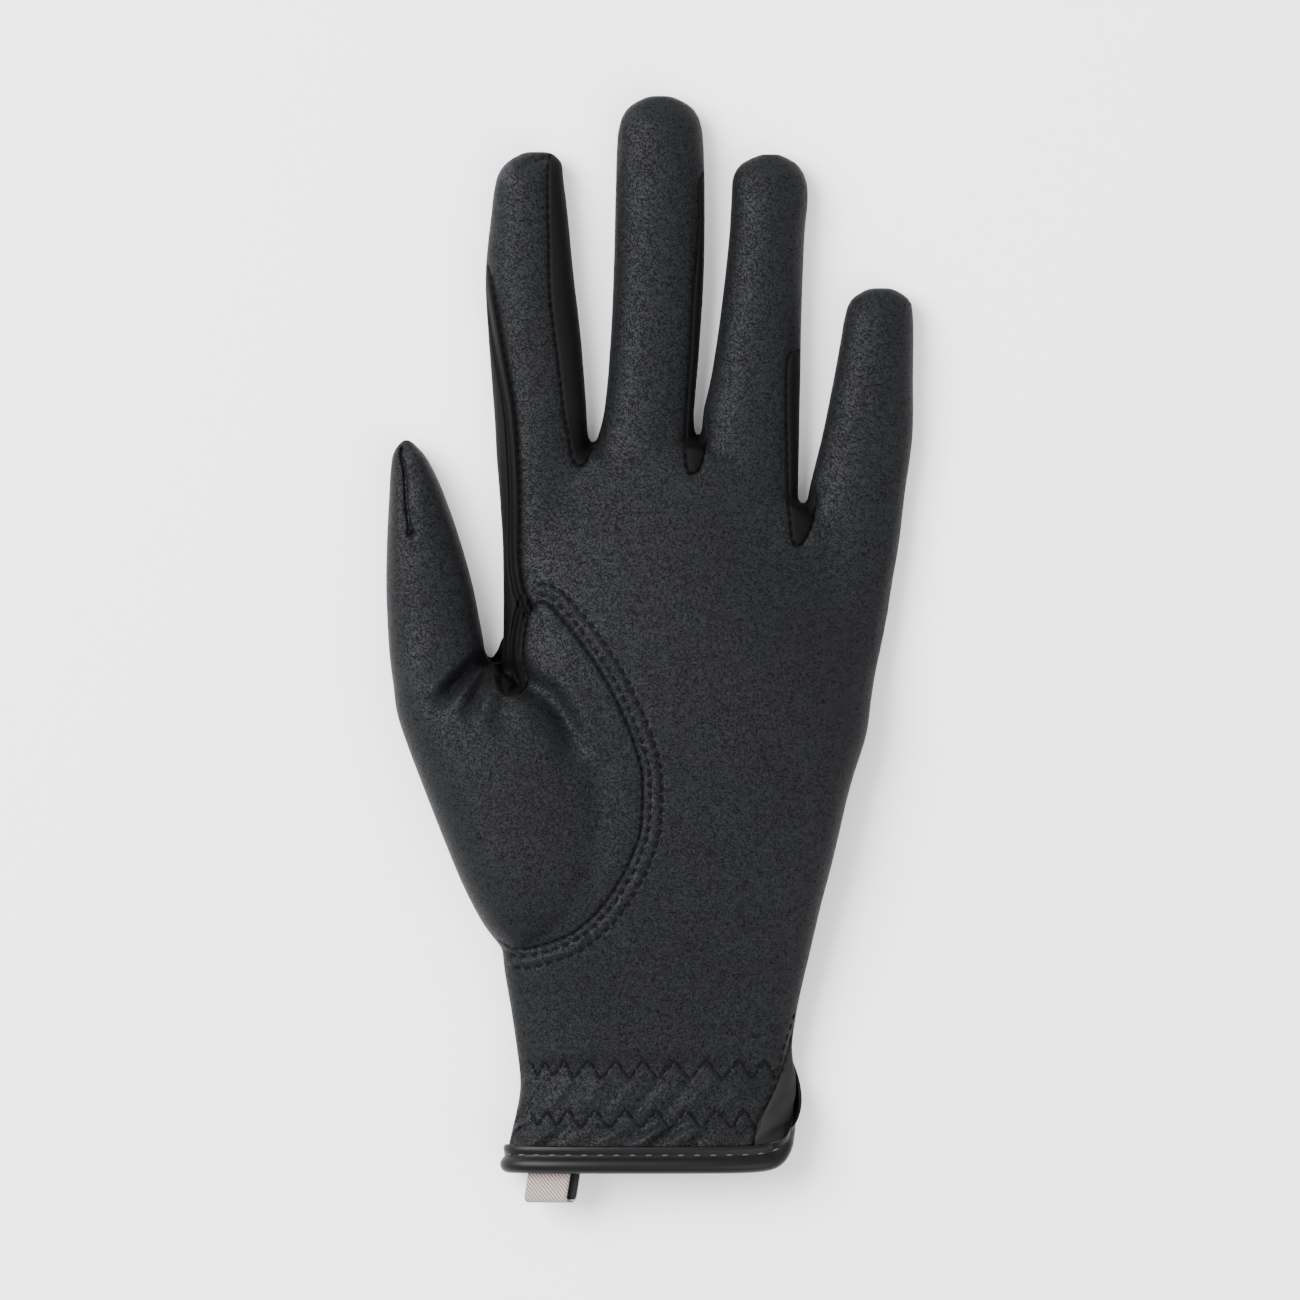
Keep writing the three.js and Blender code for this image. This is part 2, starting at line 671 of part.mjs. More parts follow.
const outer = Object.values(fingers).reduce(
  (solid, finger) => solid.add(fingerTube(finger, 0)),
  handTube(0).add(thumbTube(0)),
);
const inner = Object.values(fingers).reduce(
  (solid, finger) => solid.add(fingerTube(finger, wall)),
  handTube(wall).add(thumbTube(wall)),
);
const shell = outer.subtract(inner).subtract(toSolid(bindingGeometry(seamGap)));

const gussetLine = smoothLine(gussetSeam);
const sideLine = smoothLine(sideSeam);
const cuffLine = smoothLine(cuffSeam);
const thumbBackLine = smoothLine(thumbBackSeam);
const gussetColumn = column([...gussetLine, ...gussetOutside]);
const sideColumn = column([...sideLine, ...sideOutside]);
const cuffColumn = column([...cuffLine, ...cuffOutside]);
const thumbBackColumn = column([...thumbBackLine, ...thumbBackOutside]);

// The level where palm and back meet, left whole where one piece passes through it.
const everywhere = [onHand(-2, -1), onHand(2, -1), onHand(2, 3), onHand(-2, 3)];
const splitLayer = prism(everywhere, splitHeight - seamGap, splitHeight)
  .subtract(thumbBackColumn).subtract(sideColumn).subtract(cuffColumn);
const aboveSplit = prism(everywhere, splitHeight, tallerThanAll);
const belowSplit = prism(everywhere, underFloor, splitHeight);

const regions = Object.fromEntries(
  Object.entries(fourchettes).map(([name, strips]) => [name, fourchetteRegion(strips)]),
);
const seams = [
  curtain(gussetLine, splitHeight - seamGap, tallerThanAll),
  curtain(sideLine, splitHeight - seamGap, tallerThanAll),
  curtain(cuffLine, splitHeight - seamGap, tallerThanAll),
  curtain(thumbBackLine, underFloor, splitHeight),
  ...Object.values(regions).map((region) => curtain(region, splitHeight - seamGap, tallerThanAll)),
];
const sewn = seams.reduce((solid, seam) => solid.subtract(seam), shell.subtract(splitLayer));

// The cuts leave slivers thinner than the cloth, so a piece is the one large body.
function largestBody(solid) {
  const bodies = solid.decompose();
  return bodies.reduce((best, body) => (body.volume() > best.volume() ? body : best));
}

const thumbSpace = gussetColumn.subtract(belowSplit.subtract(thumbBackColumn));
const backSpace = belowSplit.add(sideColumn).add(cuffColumn).subtract(thumbSpace);
const pieces = {
  thumb_piece: largestBody(sewn.intersect(thumbSpace)),
  back_panel: largestBody(sewn.intersect(backSpace)),
};
let palm = sewn.subtract(thumbSpace).subtract(backSpace);
for (const [name, region] of Object.entries(regions)) {
  const space = column(region).intersect(aboveSplit);
  pieces[name] = largestBody(sewn.intersect(space));
  palm = palm.subtract(space);
}
pieces.palm_panel = largestBody(palm);

// The label: a ribbon folded at its end, tucked under the roll.
function labelGeometry() {
  const { place, out, up, along } = edgeFrame(labelAngle * degrees);
  const bend = labelWall + labelFold / 2;
  const deep = -(wall / 2 + rollDiameter / 2 + labelSeat);
  const shape = new THREE.Shape();
  shape.moveTo(labelTuck, 0);
  shape.lineTo(-labelReach + bend, 0);
  shape.absarc(-labelReach + bend, -bend, bend, Math.PI / 2, (3 * Math.PI) / 2, false);
  shape.lineTo(labelTuck, -2 * bend);
  shape.lineTo(labelTuck, -2 * bend + labelWall);
  shape.lineTo(-labelReach + bend, -2 * bend + labelWall);
  shape.absarc(-labelReach + bend, -bend, labelFold / 2, (3 * Math.PI) / 2, Math.PI / 2, true);
  shape.lineTo(labelTuck, -labelWall);
  const geometry = new THREE.ExtrudeGeometry(shape, {
    depth: labelWidth, bevelEnabled: false, curveSegments: 6,
  });
  geometry.translate(0, 0, -labelWidth / 2);
  const points = geometry.attributes.position;
  for (let i = 0; i < points.count; i += 1) {
    const length = points.getX(i);
    const side = points.getZ(i) - length * labelSkew - (points.getY(i) / bend) * 0.6;
    const point = place.clone()
      .addScaledVector(up, length)
      .addScaledVector(out, deep + points.getY(i))
      .addScaledVector(along, -side);
    points.setXYZ(i, point.x, point.y, point.z);
  }
  return geometry;
}

const leather = () => new THREE.MeshStandardMaterial({ color: "#303234", roughness: 0.62, metalness: 0 });
const fabric = () => new THREE.MeshStandardMaterial({ color: "#232324", roughness: 0.75, metalness: 0 });
const piping = () => new THREE.MeshStandardMaterial({ color: "#2b2b2c", roughness: 0.45, metalness: 0 });
const ribbon = () => new THREE.MeshStandardMaterial({ color: "#c8b9b4", roughness: 0.85, metalness: 0 });

const finishes = {
  palm_panel: leather,
  back_panel: fabric,
  fourchette_index_middle: fabric,
  fourchette_middle_ring: fabric,
  fourchette_ring_little: fabric,
  thumb_piece: leather,
};

const glove = new THREE.Group();
for (const [name, finish] of Object.entries(finishes)) {
  const mesh = new THREE.Mesh(toGeometry(pieces[name]), finish());
  mesh.name = name;
  glove.add(mesh);
}
const binding = new THREE.Mesh(bindingGeometry(0), piping());
binding.name = "cuff_binding";
glove.add(binding);
const label = new THREE.Mesh(labelGeometry(), ribbon());
label.name = "label_loop";
glove.add(label);

// The origin is the middle of the glove's underside.
const box = new THREE.Box3().setFromObject(glove);
const middle = box.getCenter(new THREE.Vector3());
glove.position.set(-middle.x, -middle.y, -box.min.z);

export default glove;
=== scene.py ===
"""A left riding glove lying on its back on a pale floor, palm up, seen from straight above."""
import math
import bmesh
import bpy
import numpy as np
from mathutils import Matrix, Vector
from mathutils.bvhtree import BVHTree


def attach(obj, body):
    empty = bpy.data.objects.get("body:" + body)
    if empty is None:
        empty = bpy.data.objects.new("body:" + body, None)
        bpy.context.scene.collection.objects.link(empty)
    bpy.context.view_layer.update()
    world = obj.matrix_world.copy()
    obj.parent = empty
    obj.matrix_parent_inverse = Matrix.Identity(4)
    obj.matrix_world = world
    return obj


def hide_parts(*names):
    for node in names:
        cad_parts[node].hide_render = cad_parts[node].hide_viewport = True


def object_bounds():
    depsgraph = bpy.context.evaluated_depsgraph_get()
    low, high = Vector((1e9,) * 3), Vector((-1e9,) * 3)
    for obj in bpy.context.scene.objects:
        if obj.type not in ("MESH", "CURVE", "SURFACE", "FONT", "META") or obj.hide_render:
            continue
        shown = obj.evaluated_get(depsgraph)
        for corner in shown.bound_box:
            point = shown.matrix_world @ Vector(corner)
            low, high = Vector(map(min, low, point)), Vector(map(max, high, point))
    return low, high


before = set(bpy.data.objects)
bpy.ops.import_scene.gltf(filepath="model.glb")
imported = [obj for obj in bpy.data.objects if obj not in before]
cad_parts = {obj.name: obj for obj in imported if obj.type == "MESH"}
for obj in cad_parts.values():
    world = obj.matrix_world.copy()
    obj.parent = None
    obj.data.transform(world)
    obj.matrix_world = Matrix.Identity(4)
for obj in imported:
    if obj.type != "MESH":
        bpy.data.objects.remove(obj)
CAD_LOW, CAD_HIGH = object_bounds()

bl_info = {
    "name": "Riding Glove",
    "version": (1, 0, 0),
    "blender": (4, 5, 0),
    "location": "View3D > Sidebar > Glove",
    "description": "Builds a left riding glove of leather and stretch fabric with its binding and stitches",
    "category": "Add Mesh",
}

# Lengths in this file are millimetres until a mesh is written, where they become metres.
MM = 0.001

# Hand sizes, as in the solids
PALM_LENGTH = 157.8
HAND_WIDTH = 88.2
HAND_DEPTH = 21.0
CUFF_DEPTH = 14.5
KNUCKLE_DEPTH = 12.5
KNUCKLE_DROP = 25.7
MOUND_DEPTH = 22.5
WALL = 1.2
SPLIT_HEIGHT = 3.2
WEB_ROUND = 3.4
FLAT_SINK = 0.3
MIDDLE_LENGTH = 82.2
THUMB_LENGTH = 48.9
THUMB_WIDTH = 21.7
THUMB_DEPTH = 15.0
ROLL_DIAMETER = 3.8
BAND_REACH = 6.3
VENT_DEPTH = 28.0
VENT_ANGLE = -55.0
VENT_SPREAD = 45.0
HAND_SQUARENESS = 0.8
FINGER_SQUARENESS = 0.92
THUMB_SQUARENESS = 0.88

# The solids' origin is the middle of their box. The tables below start at the cuff edge.
SHIFT = np.array([0.0, CAD_HIGH.y / MM - PALM_LENGTH - MIDDLE_LENGTH])

# The photograph's frame is 1300 pixels square. One pixel shows this many millimetres.
PHOTO_PIXELS = 1300
PIXEL = 0.22326
# The solids' middle and the cuff edge, in pixels of that frame
MIDDLE_PIXEL = 650
CUFF_PIXEL = 1172


def on_hand(across, along):
    """A place on the palm, in shares of the hand's width and of the palm's length."""
    return np.array([across * HAND_WIDTH, along * PALM_LENGTH])


def photo(points):
    """Places in the photograph's frame as millimetres in plan."""
    table = np.array(points, float).reshape(-1, 2)
    x = (table[:, 0] - MIDDLE_PIXEL) * PIXEL
    y = (CUFF_PIXEL - table[:, 1]) * PIXEL
    return np.column_stack([x, y]) + SHIFT


# Section rows of a finger: along its length, left and right edge in shares of its width, depth.
FINGER_ROWS = {
    "index": [
        (-0.3, -0.37, 0.52, 1.06), (0.0, -0.465, 0.5, 1.02), (0.16, -0.495, 0.484, 1.0),
        (0.415, -0.558, 0.421, 1.0), (0.607, -0.589, 0.347, 1.0), (0.8, -0.53, 0.285, 0.96),
        (0.927, -0.465, 0.235, 0.8), (0.974, -0.355, 0.215, 0.58), (0.992, -0.18, 0.105, 0.36),
    ],
    "middle": [
        (-0.3, -0.48, 0.53, 1.06), (0.0, -0.56, 0.56, 1.02), (0.136, -0.43, 0.57, 1.0),
        (0.3, -0.363, 0.626, 1.0), (0.516, -0.319, 0.681, 1.0), (0.734, -0.297, 0.692, 0.98),
        (0.897, -0.273, 0.672, 0.86), (0.951, -0.222, 0.622, 0.72), (0.984, -0.114, 0.51, 0.5),
        (0.996, 0.07, 0.32, 0.34),
    ],
    "ring": [
        (-0.3, -0.58, 0.56, 1.06), (0.0, -0.6, 0.59, 1.02), (0.185, -0.57, 0.602, 1.0),
        (0.31, -0.47, 0.614, 1.0), (0.498, -0.361, 0.627, 1.0), (0.749, -0.253, 0.663, 0.98),
        (0.875, -0.225, 0.705, 0.88), (0.937, -0.208, 0.672, 0.74), (0.98, -0.1, 0.565, 0.5),
        (0.995, 0.12, 0.37, 0.34),
    ],
    "little": [
        (-0.37, -0.53, 0.365, 1.1), (0.0, -0.565, 0.565, 1.04), (0.195, -0.506, 0.635, 1.0),
        (0.43, -0.341, 0.729, 1.0), (0.664, -0.2, 0.735, 0.98), (0.82, -0.115, 0.74, 0.9),
        (0.898, -0.075, 0.735, 0.8), (0.965, 0.005, 0.69, 0.58), (0.992, 0.2, 0.5, 0.36),
    ],
}
# The softened skin draws back a little at each tip, so the tubes run on by this much.
TIP_ALLOWANCE = 0.9
# The last millimetres of each tube have closer rings, so that the tips are round.
TIP_FINE = 6.0
TIP_RINGS = 12
# Rings lie closer towards the tips.
TIP_CROWDING = 1.35
# Where a tube is thinner, it lies off the floor by this share of what it lacks.
TIP_LIFT = 0.35
BALL_LIFT = 0.3
# Each finger: its root's middle, length, width and depth.
FINGERS = {
    "index": (on_hand(-0.276, 1.0), 69.9, 21.2, 12.0),
    "middle": (on_hand(-0.02, 1.0), MIDDLE_LENGTH, 20.3, 12.0),
    "ring": (on_hand(0.253, 0.987), 71.2, 18.5, 11.6),
    "little": (on_hand(0.509, 0.887), 57.2, 19.0, 11.2),
}
THUMB_ROOT = on_hand(-0.537, 0.724)
THUMB_ROWS = [
    (0.0, -0.495, 0.54, 1.06), (0.114, -0.515, 0.464, 1.0), (0.342, -0.536, 0.361, 0.98),
    (0.571, -0.526, 0.216, 0.94), (0.753, -0.505, 0.072, 0.84), (0.845, -0.495, -0.015, 0.74),
    (0.936, -0.472, -0.125, 0.56), (0.972, -0.438, -0.195, 0.4), (0.993, -0.362, -0.288, 0.26),
]
# The ball of the thumb: along the palm, left and right edge in shares of the hand's width, depth.
MOUND_ROWS = [
    (0.318, -0.375, -0.285, 0.5), (0.35, -0.42, -0.2, 0.76), (0.406, -0.473, -0.095, 0.92),
    (0.477, -0.526, -0.035, 0.98), (0.547, -0.575, -0.03, 1.0), (0.618, -0.623, -0.09, 0.96),
    (0.653, -0.642, -0.16, 0.9), (0.689, -0.65, -0.3, 0.8),
]
# The low web between the thumb and the index side, in the photograph's frame:
# row, left and right edge, depth in mm
CROTCH_ROWS = [
    (760, 492, 540, 15.0), (725, 486, 540, 13.0), (705, 483, 540, 10.0), (690, 483, 538, 8.0),
    (676, 484, 536, 6.8), (667, 487, 534, 6.0), (658, 491, 530, 5.5), (649, 497, 526, 5.0),
    (638, 502, 524, 4.5),
]
# The hand: along the palm, left and right edge in shares of the hand's width, depth.
HAND_ROWS = [
    (0.0, -0.365, 0.35, CUFF_DEPTH), (0.031, -0.358, 0.358, CUFF_DEPTH),
    (0.088, -0.337, 0.372, CUFF_DEPTH), (0.123, -0.329, 0.365, CUFF_DEPTH),
    (0.158, -0.334, 0.36, CUFF_DEPTH), (0.229, -0.352, 0.377, CUFF_DEPTH * 1.08),
    (0.3, -0.372, 0.403, CUFF_DEPTH * 1.22), (0.371, -0.375, 0.43, HAND_DEPTH * 0.93),
    (0.441, -0.38, 0.463, HAND_DEPTH * 0.99), (0.547, -0.38, 0.506, HAND_DEPTH),
    (0.653, -0.375, 0.547, HAND_DEPTH * 0.98), (0.76, -0.372, 0.562, HAND_DEPTH * 0.9),
    (0.83, -0.372, 0.573, HAND_DEPTH * 0.8), (0.9, -0.375, 0.59, HAND_DEPTH * 0.7),
    (0.958, -0.382, 0.605, KNUCKLE_DEPTH * 1.05), (1.0, -0.387, 0.615, KNUCKLE_DEPTH),
]
KNUCKLE_LINE = [(0, 0), (0.235, 0.0), (0.5, -0.09), (0.77, 0.46), (1, 1)]

# Folds at the thumb's root and small creases, as lines in the photograph's frame:
# points, width in mm, depth in mm. A ridge has a negative depth. Each fades towards its end.
FOLDS = [
    ([(484, 657), (466, 674), (448, 692), (430, 716)], 1.9, 4.2),
    ([(476, 652), (458, 662), (440, 680), (422, 702)], 1.7, -1.2),
    ([(489, 664), (481, 686), (473, 706), (466, 732)], 2.0, 3.0),
    ([(478, 670), (466, 688), (456, 708)], 1.5, -1.2),
    ([(524, 679), (544, 688), (557, 702), (566, 718), (573, 742), (577, 790)], 3.2, 2.4),
    ([(534, 672), (557, 684), (573, 702), (583, 722), (589, 748), (590, 785)], 3.3, -1.2),
    ([(506, 694), (500, 716), (492, 738)], 3.2, 1.6),
    ([(546, 158), (534, 161), (522, 168), (512, 180)], 0.8, 0.5),
    ([(618, 186), (650, 181), (690, 187)], 3.0, 0.4),
    ([(508, 1140), (520, 1128), (540, 1115)], 0.7, 0.8),
    ([(511, 1126), (520, 1117), (532, 1110)], 0.6, 0.6),
]
# The dart at the thumb's tip, and the small hole at its end
DART = [(402, 448), (401, 455), (403, 461), (405, 472), (406, 490), (407, 508), (410, 527)]
DART_END = (411, 532)
# The pinched corner between thumb and palm: its lip, its knot and the pit above it
QUIRK_LIP = [(493, 660), (495, 678), (499, 690), (509, 696), (519, 693), (526, 684)]
QUIRK_KNOT = (508, 687)
# Below the gusset's top corner the piped lines run on along this edge.
CROTCH_EDGE = [(532, 600), (526, 618), (522, 642), (522, 662), (527, 680)]
QUIRK_PIT = (506, 674)
# Where the leather is drawn paler round the index tip's shoulder, and where painted shade darkens leather
# and knit in the thumb's corner and the webs
PALER_TIP_SHOULDER = (503, 172)
CROTCH_PAINTED_SHADE = (508, 668)
WEBS_PAINTED_SHADE = [(586, 455), (697, 462), (802, 525)]

# Seams in plan, in shares of the hand's sizes
GUSSET_SEAM = [
    (-0.41, 0.73), (-0.387, 0.7), (-0.367, 0.68), (-0.334, 0.676), (-0.308, 0.692), (-0.318, 0.72),
    (-0.316, 0.752), (-0.304, 0.788), (-0.283, 0.806), (-0.256, 0.803), (-0.17, 0.747), (-0.094, 0.679),
    (-0.025, 0.583), (-0.018, 0.526), (-0.03, 0.47), (-0.101, 0.392), (-0.19, 0.342), (-0.291, 0.32),
    (-0.344, 0.318), (-0.415, 0.345), (-0.46, 0.37),
]
GUSSET_OUTSIDE = [(-0.62, 0.37), (-0.8, 0.6), (-0.8, 1.08), (-0.5, 1.08), (-0.43, 0.8)]
SIDE_SEAM = [
    (-0.44, 1.3), (-0.411, 1.284), (-0.397, 1.259), (-0.367, 1.165), (-0.34, 1.078), (-0.33, 1.0),
    (-0.327, 0.93), (-0.327, 0.87), (-0.315, 0.825), (-0.29, 0.795),
]
SIDE_OUTSIDE = [(-0.29, 0.66), (-0.41, 0.66), (-0.42, 0.78), (-0.45, 1.0), (-0.47, 1.2)]
THUMB_BACK_SEAM = [
    (-0.40, 0.76), (-0.36, 0.7), (-0.33, 0.6), (-0.33, 0.48), (-0.36, 0.39), (-0.46, 0.36),
]
THUMB_BACK_OUTSIDE = [(-0.62, 0.36), (-0.8, 0.6), (-0.8, 1.08), (-0.5, 1.08)]
# Seams in the photograph's frame: the palm's edge at the cuff, and the ground outside it
CUFF_SEAM = [
    (812, 985), (799, 1012), (795, 1026), (790, 1040), (784, 1064), (775, 1087), (765, 1108),
    (757, 1127), (753, 1148), (752, 1190),
]
CUFF_OUTSIDE = [(840, 1190), (840, 985)]
# Side strips between the fingers: the seam on the palm side, and the way back through the gap
FOURCHETTES = {
    "fourchette_index_middle": (
        [
            (552, 148), (549, 160), (548, 188), (549, 239), (550, 290), (554, 328), (559, 366), (564, 410),
            (569, 438), (573, 458), (579, 466), (586, 463), (590, 454), (599, 442), (604, 430), (604, 415),
        ],
        [(603, 395), (606, 300), (612, 200), (600, 148)],
    ),
    "fourchette_middle_ring": (
        [
            (712, 168), (704, 171), (699, 180), (699, 213), (698, 242), (694, 290), (691, 347), (685, 443),
            (686, 464), (690, 473), (696, 473), (702, 464), (706, 447), (708, 430), (704, 412),
        ],
        [(707, 355), (714, 275), (718, 195)],
    ),
    "fourchette_ring_little": (
        [
            (806, 349), (796, 350), (790, 354), (787, 370), (787, 427), (788, 473), (789, 511), (791, 533),
            (794, 544), (800, 545), (806, 538), (812, 525), (816, 508), (817, 496), (810, 484), (804, 470),
        ],
        [(804, 440), (804, 400)],
    ),
}
# The same strips on the left side of the next finger lie below its widest line:
# the line just inside that finger's edge, bottom to top.
LOW_STRIPS = {
    "fourchette_index_middle": [(598, 452), (609, 425), (613, 395), (618, 315), (621, 235), (624, 165)],
    "fourchette_middle_ring": [(700, 462), (711, 415), (721, 355), (727, 315), (736, 235), (740, 180)],
    "fourchette_ring_little": [(806, 530), (818, 480), (826, 435), (836, 395), (846, 355), (852, 320)],
}
LOW_STRIP_REACH = 4.0
LOW_STRIP_TOP = 5.2

BODY = "root"
PANELS = ["palm_panel", "back_panel", "thumb_piece", *FOURCHETTES]


def smoothstep(values, low, high):
    """The soft step from 0 at low to 1 at high."""
    share = np.clip((np.asarray(values, float) - low) / (high - low), 0, 1)
    return share * share * (3 - 2 * share)


def smooth_rows(rows):
    """A smooth curve through the columns of some rows, by their first column."""
    table = np.array(rows, float)
    places, values = table[:, 0], table[:, 1:]
    slopes = np.empty_like(values)
    slopes[1:-1] = (values[2:] - values[:-2]) / (places[2:] - places[:-2])[:, None]
    slopes[0] = (values[1] - values[0]) / (places[1] - places[0])
    slopes[-1] = (values[-1] - values[-2]) / (places[-1] - places[-2])

    def at(place):
        """The columns' values at a place."""
        place = np.clip(np.asarray(place, float), places[0], places[-1])
        i = np.clip(np.searchsorted(places, place, side="right") - 1, 0, len(places) - 2)
        step = places[i + 1] - places[i]
        t = ((place - places[i]) / step)[..., None]
        width = step[..., None]
        return (
            (2 * t**3 - 3 * t**2 + 1) * values[i]
            + (t**3 - 2 * t**2 + t) * width * slopes[i]
            + (3 * t**2 - 2 * t**3) * values[i + 1]
            + (t**3 - t**2) * width * slopes[i + 1]
        )

    return at


def smooth_line(points, spacing=0.5):
    """Points spaced evenly on a smooth curve through the given ones."""
    points = np.array(points, float)
    run = np.concatenate([[0], np.cumsum(np.linalg.norm(np.diff(points, axis=0), axis=1))])
    curve = smooth_rows(np.column_stack([run, points]))
    dense = curve(np.linspace(0, run[-1], int(run[-1] / spacing) * 4 + 2))
    length = np.concatenate([[0], np.cumsum(np.linalg.norm(np.diff(dense, axis=0), axis=1))])
    even = np.linspace(0, length[-1], max(int(length[-1] / spacing), 2) + 1)
    return np.column_stack([np.interp(even, length, dense[:, k]) for k in range(dense.shape[1])])


def plan(points):
    """Seam points given in shares of the hand, in millimetres in the frame of the solids."""
    return np.array([on_hand(*point) + SHIFT for point in points])


def line_run(line):
    """How far along a line each of its points lies."""
    return np.concatenate([[0], np.cumsum(np.linalg.norm(np.diff(line, axis=0), axis=1))])


def distance_to_line(points, line, reach=8.0):
    """Distance of plan points to a line, up to a reach, and how far along it the nearest place is."""
    best = np.full(len(points), reach)
    place = np.zeros(len(points))
    run = line_run(line)
    stretch = 12
    for first in range(0, len(line) - 1, stretch):
        part = line[first:first + stretch + 1]
        near = (points > part.min(axis=0) - reach) & (points < part.max(axis=0) + reach)
        some = np.flatnonzero(near.all(axis=1))
        spots = points[some]
        for i in range(len(part) - 1):
            step = part[i + 1] - part[i]
            share = np.clip(((spots - part[i]) @ step) / max(step @ step, 1e-12), 0, 1)
            distance = np.linalg.norm(spots - (part[i] + share[:, None] * step), axis=1)
            nearer = distance < best[some]
            best[some[nearer]] = distance[nearer]
            place[some[nearer]] = run[first + i] + share[nearer] * np.linalg.norm(step)
    return best, place


def inside(points, outline):
    """Whether each plan point lies inside a closed outline."""
    found = np.zeros(len(points), bool)
    x, y = points[:, 0], points[:, 1]
    for (x0, y0), (x1, y1) in zip(outline, np.roll(outline, -1, axis=0)):
        crosses = (y0 > y) != (y1 > y)
        with np.errstate(divide="ignore", invalid="ignore"):
            at = (x1 - x0) * (y - y0) / (y1 - y0) + x0
        found ^= crosses & (x < at)
    return found


class Seam:
    """A seam in plan: its line, and the outline of the piece inside it."""

    def __init__(self, line, outside):
        """Takes the seam's line, and points that close it to an outline round its piece."""
        self.line = line
        self.outline = np.vstack([line, outside]) if len(outside) else line

    def signed(self, points):
        """Distance to the seam, negative inside the piece."""
        distance = distance_to_line(points, self.line)[0]
        return np.where(inside(points, self.outline), -distance, distance)


def tube_rows(table, root, length, width, depth, floor_share):
    """A tube's section rows in millimetres: y, left, right, depth and height over the floor."""
    return [
        (
            root[1] + along * length,
            root[0] + left * width,
            root[0] + right * width,
            share * depth,
            max(0.0, (1 - share) * depth * floor_share),
        )
        for along, left, right, share in table
    ]


def finger_rows(name):
    """A finger's section rows."""
    root, length, width, depth = FINGERS[name]
    return tube_rows(FINGER_ROWS[name], root + SHIFT, length, width, depth, TIP_LIFT)


def thumb_rows():
    """The ball of the thumb and the thumb above it, as one run of section rows."""
    ball = tube_rows(MOUND_ROWS, SHIFT, PALM_LENGTH, HAND_WIDTH, MOUND_DEPTH, BALL_LIFT)
    thumb = tube_rows(THUMB_ROWS, THUMB_ROOT + SHIFT, THUMB_LENGTH, THUMB_WIDTH, THUMB_DEPTH, TIP_LIFT)
    return ball + thumb


def crotch_rows():
    """The low web between the thumb and the hand."""
    rows = []
    for row, left, right, depth in CROTCH_ROWS:
        (x0, y), (x1, _) = photo([(left, row), (right, row)])
        rows.append((y, x0, x1, depth, 0.0))
    return rows


def section(left, right, depth, floor, angle, squareness):
    """A soft oval pressed flat by the floor: x, z, and the angle's share across."""
    half = depth / (2 - FLAT_SINK)
    floor = np.maximum(floor, 0)
    across = np.sign(np.cos(angle)) * np.abs(np.cos(angle)) ** squareness
    up = np.sign(np.sin(angle)) * np.abs(np.sin(angle)) ** squareness
    x = (left + right) / 2 + (right - left) / 2 * across
    z = np.maximum(floor + depth - half + half * up, floor)
    return x, z, across


def vent_rise(angle):
    """How far the cuff's edge climbs at an angle round it."""
    turn = (np.degrees(angle) - VENT_ANGLE + 180) % 360 - 180
    return VENT_DEPTH * np.exp(-((turn / VENT_SPREAD) ** 2))


# The roll holds the leather off the floor at the cuff. The lift fades out by this height above the edge.
BINDING_LIFT = ROLL_DIAMETER / 2 - WALL / 2
LIFT_END = BAND_REACH * 4
# Share of a web's missing depth that lies below it
WEB_LIFT = 0.4
# Shares of the palm's length: where the rings begin to slant to the knuckles, where the vent's rise ends
KNUCKLE_SLANT_FROM = 0.5
VENT_FADE = 0.35
EDGE_STEP = 0.02
hand_at = smooth_rows(HAND_ROWS)
knuckle_at = smooth_rows(KNUCKLE_LINE)


def hand_point(along, angle, extra_y=0.0, thin=1.0):
    """A point of the hand's outer surface, in millimetres in the frame of the solids."""
    left, right, depth = hand_at(along)
    lift = BINDING_LIFT * (1 - smoothstep(along * PALM_LENGTH, BAND_REACH, LIFT_END))
    floor = lift + depth * (1 - thin) * WEB_LIFT
    x, z, across = section(
        left * HAND_WIDTH, right * HAND_WIDTH, depth * thin, floor, angle, HAND_SQUARENESS
    )
    slant = smoothstep(along, KNUCKLE_SLANT_FROM, 1.0)
    drop = knuckle_at((across + 1) / 2)[..., 0]
    y = along * PALM_LENGTH - slant * KNUCKLE_DROP * drop
    rise = vent_rise(angle) * max(0.0, 1 - along / VENT_FADE)
    return np.array([x + SHIFT[0], y + rise + extra_y + SHIFT[1], z])


def edge_frame(angle):
    """The cuff edge's own frame: its place, outwards, up into the glove and along the edge."""
    along = hand_point(0, angle + EDGE_STEP) - hand_point(0, angle - EDGE_STEP)
    along /= np.linalg.norm(along)
    out = np.array([along[2], 0, -along[0]])
    out /= np.linalg.norm(out)
    up = np.cross(along, out)
    if up[1] < 0:
        up = -up
    return hand_point(0, angle), out, up, along


def edge_stretch(angle):
    """How much longer the way up from the edge is where the edge climbs."""
    here, there = hand_point(0, angle - EDGE_STEP), hand_point(0, angle + EDGE_STEP)
    climb = there[1] - here[1]
    run = math.hypot(there[0] - here[0], there[2] - here[2])
    return math.hypot(1, climb / run)


def add_ring(bm, points_at, segments):
    """A closed ring of vertices, each placed by its angle."""
    ring = bmesh.ops.create_circle(bm, segments=segments, radius=1.0)["verts"]
    edges = list(dict.fromkeys(edge for vert in ring for edge in vert.link_edges))
    for vert in ring:
        angle = math.atan2(vert.co.y, vert.co.x)
        vert.co = Vector(points_at(angle)) * MM
    return ring, edges


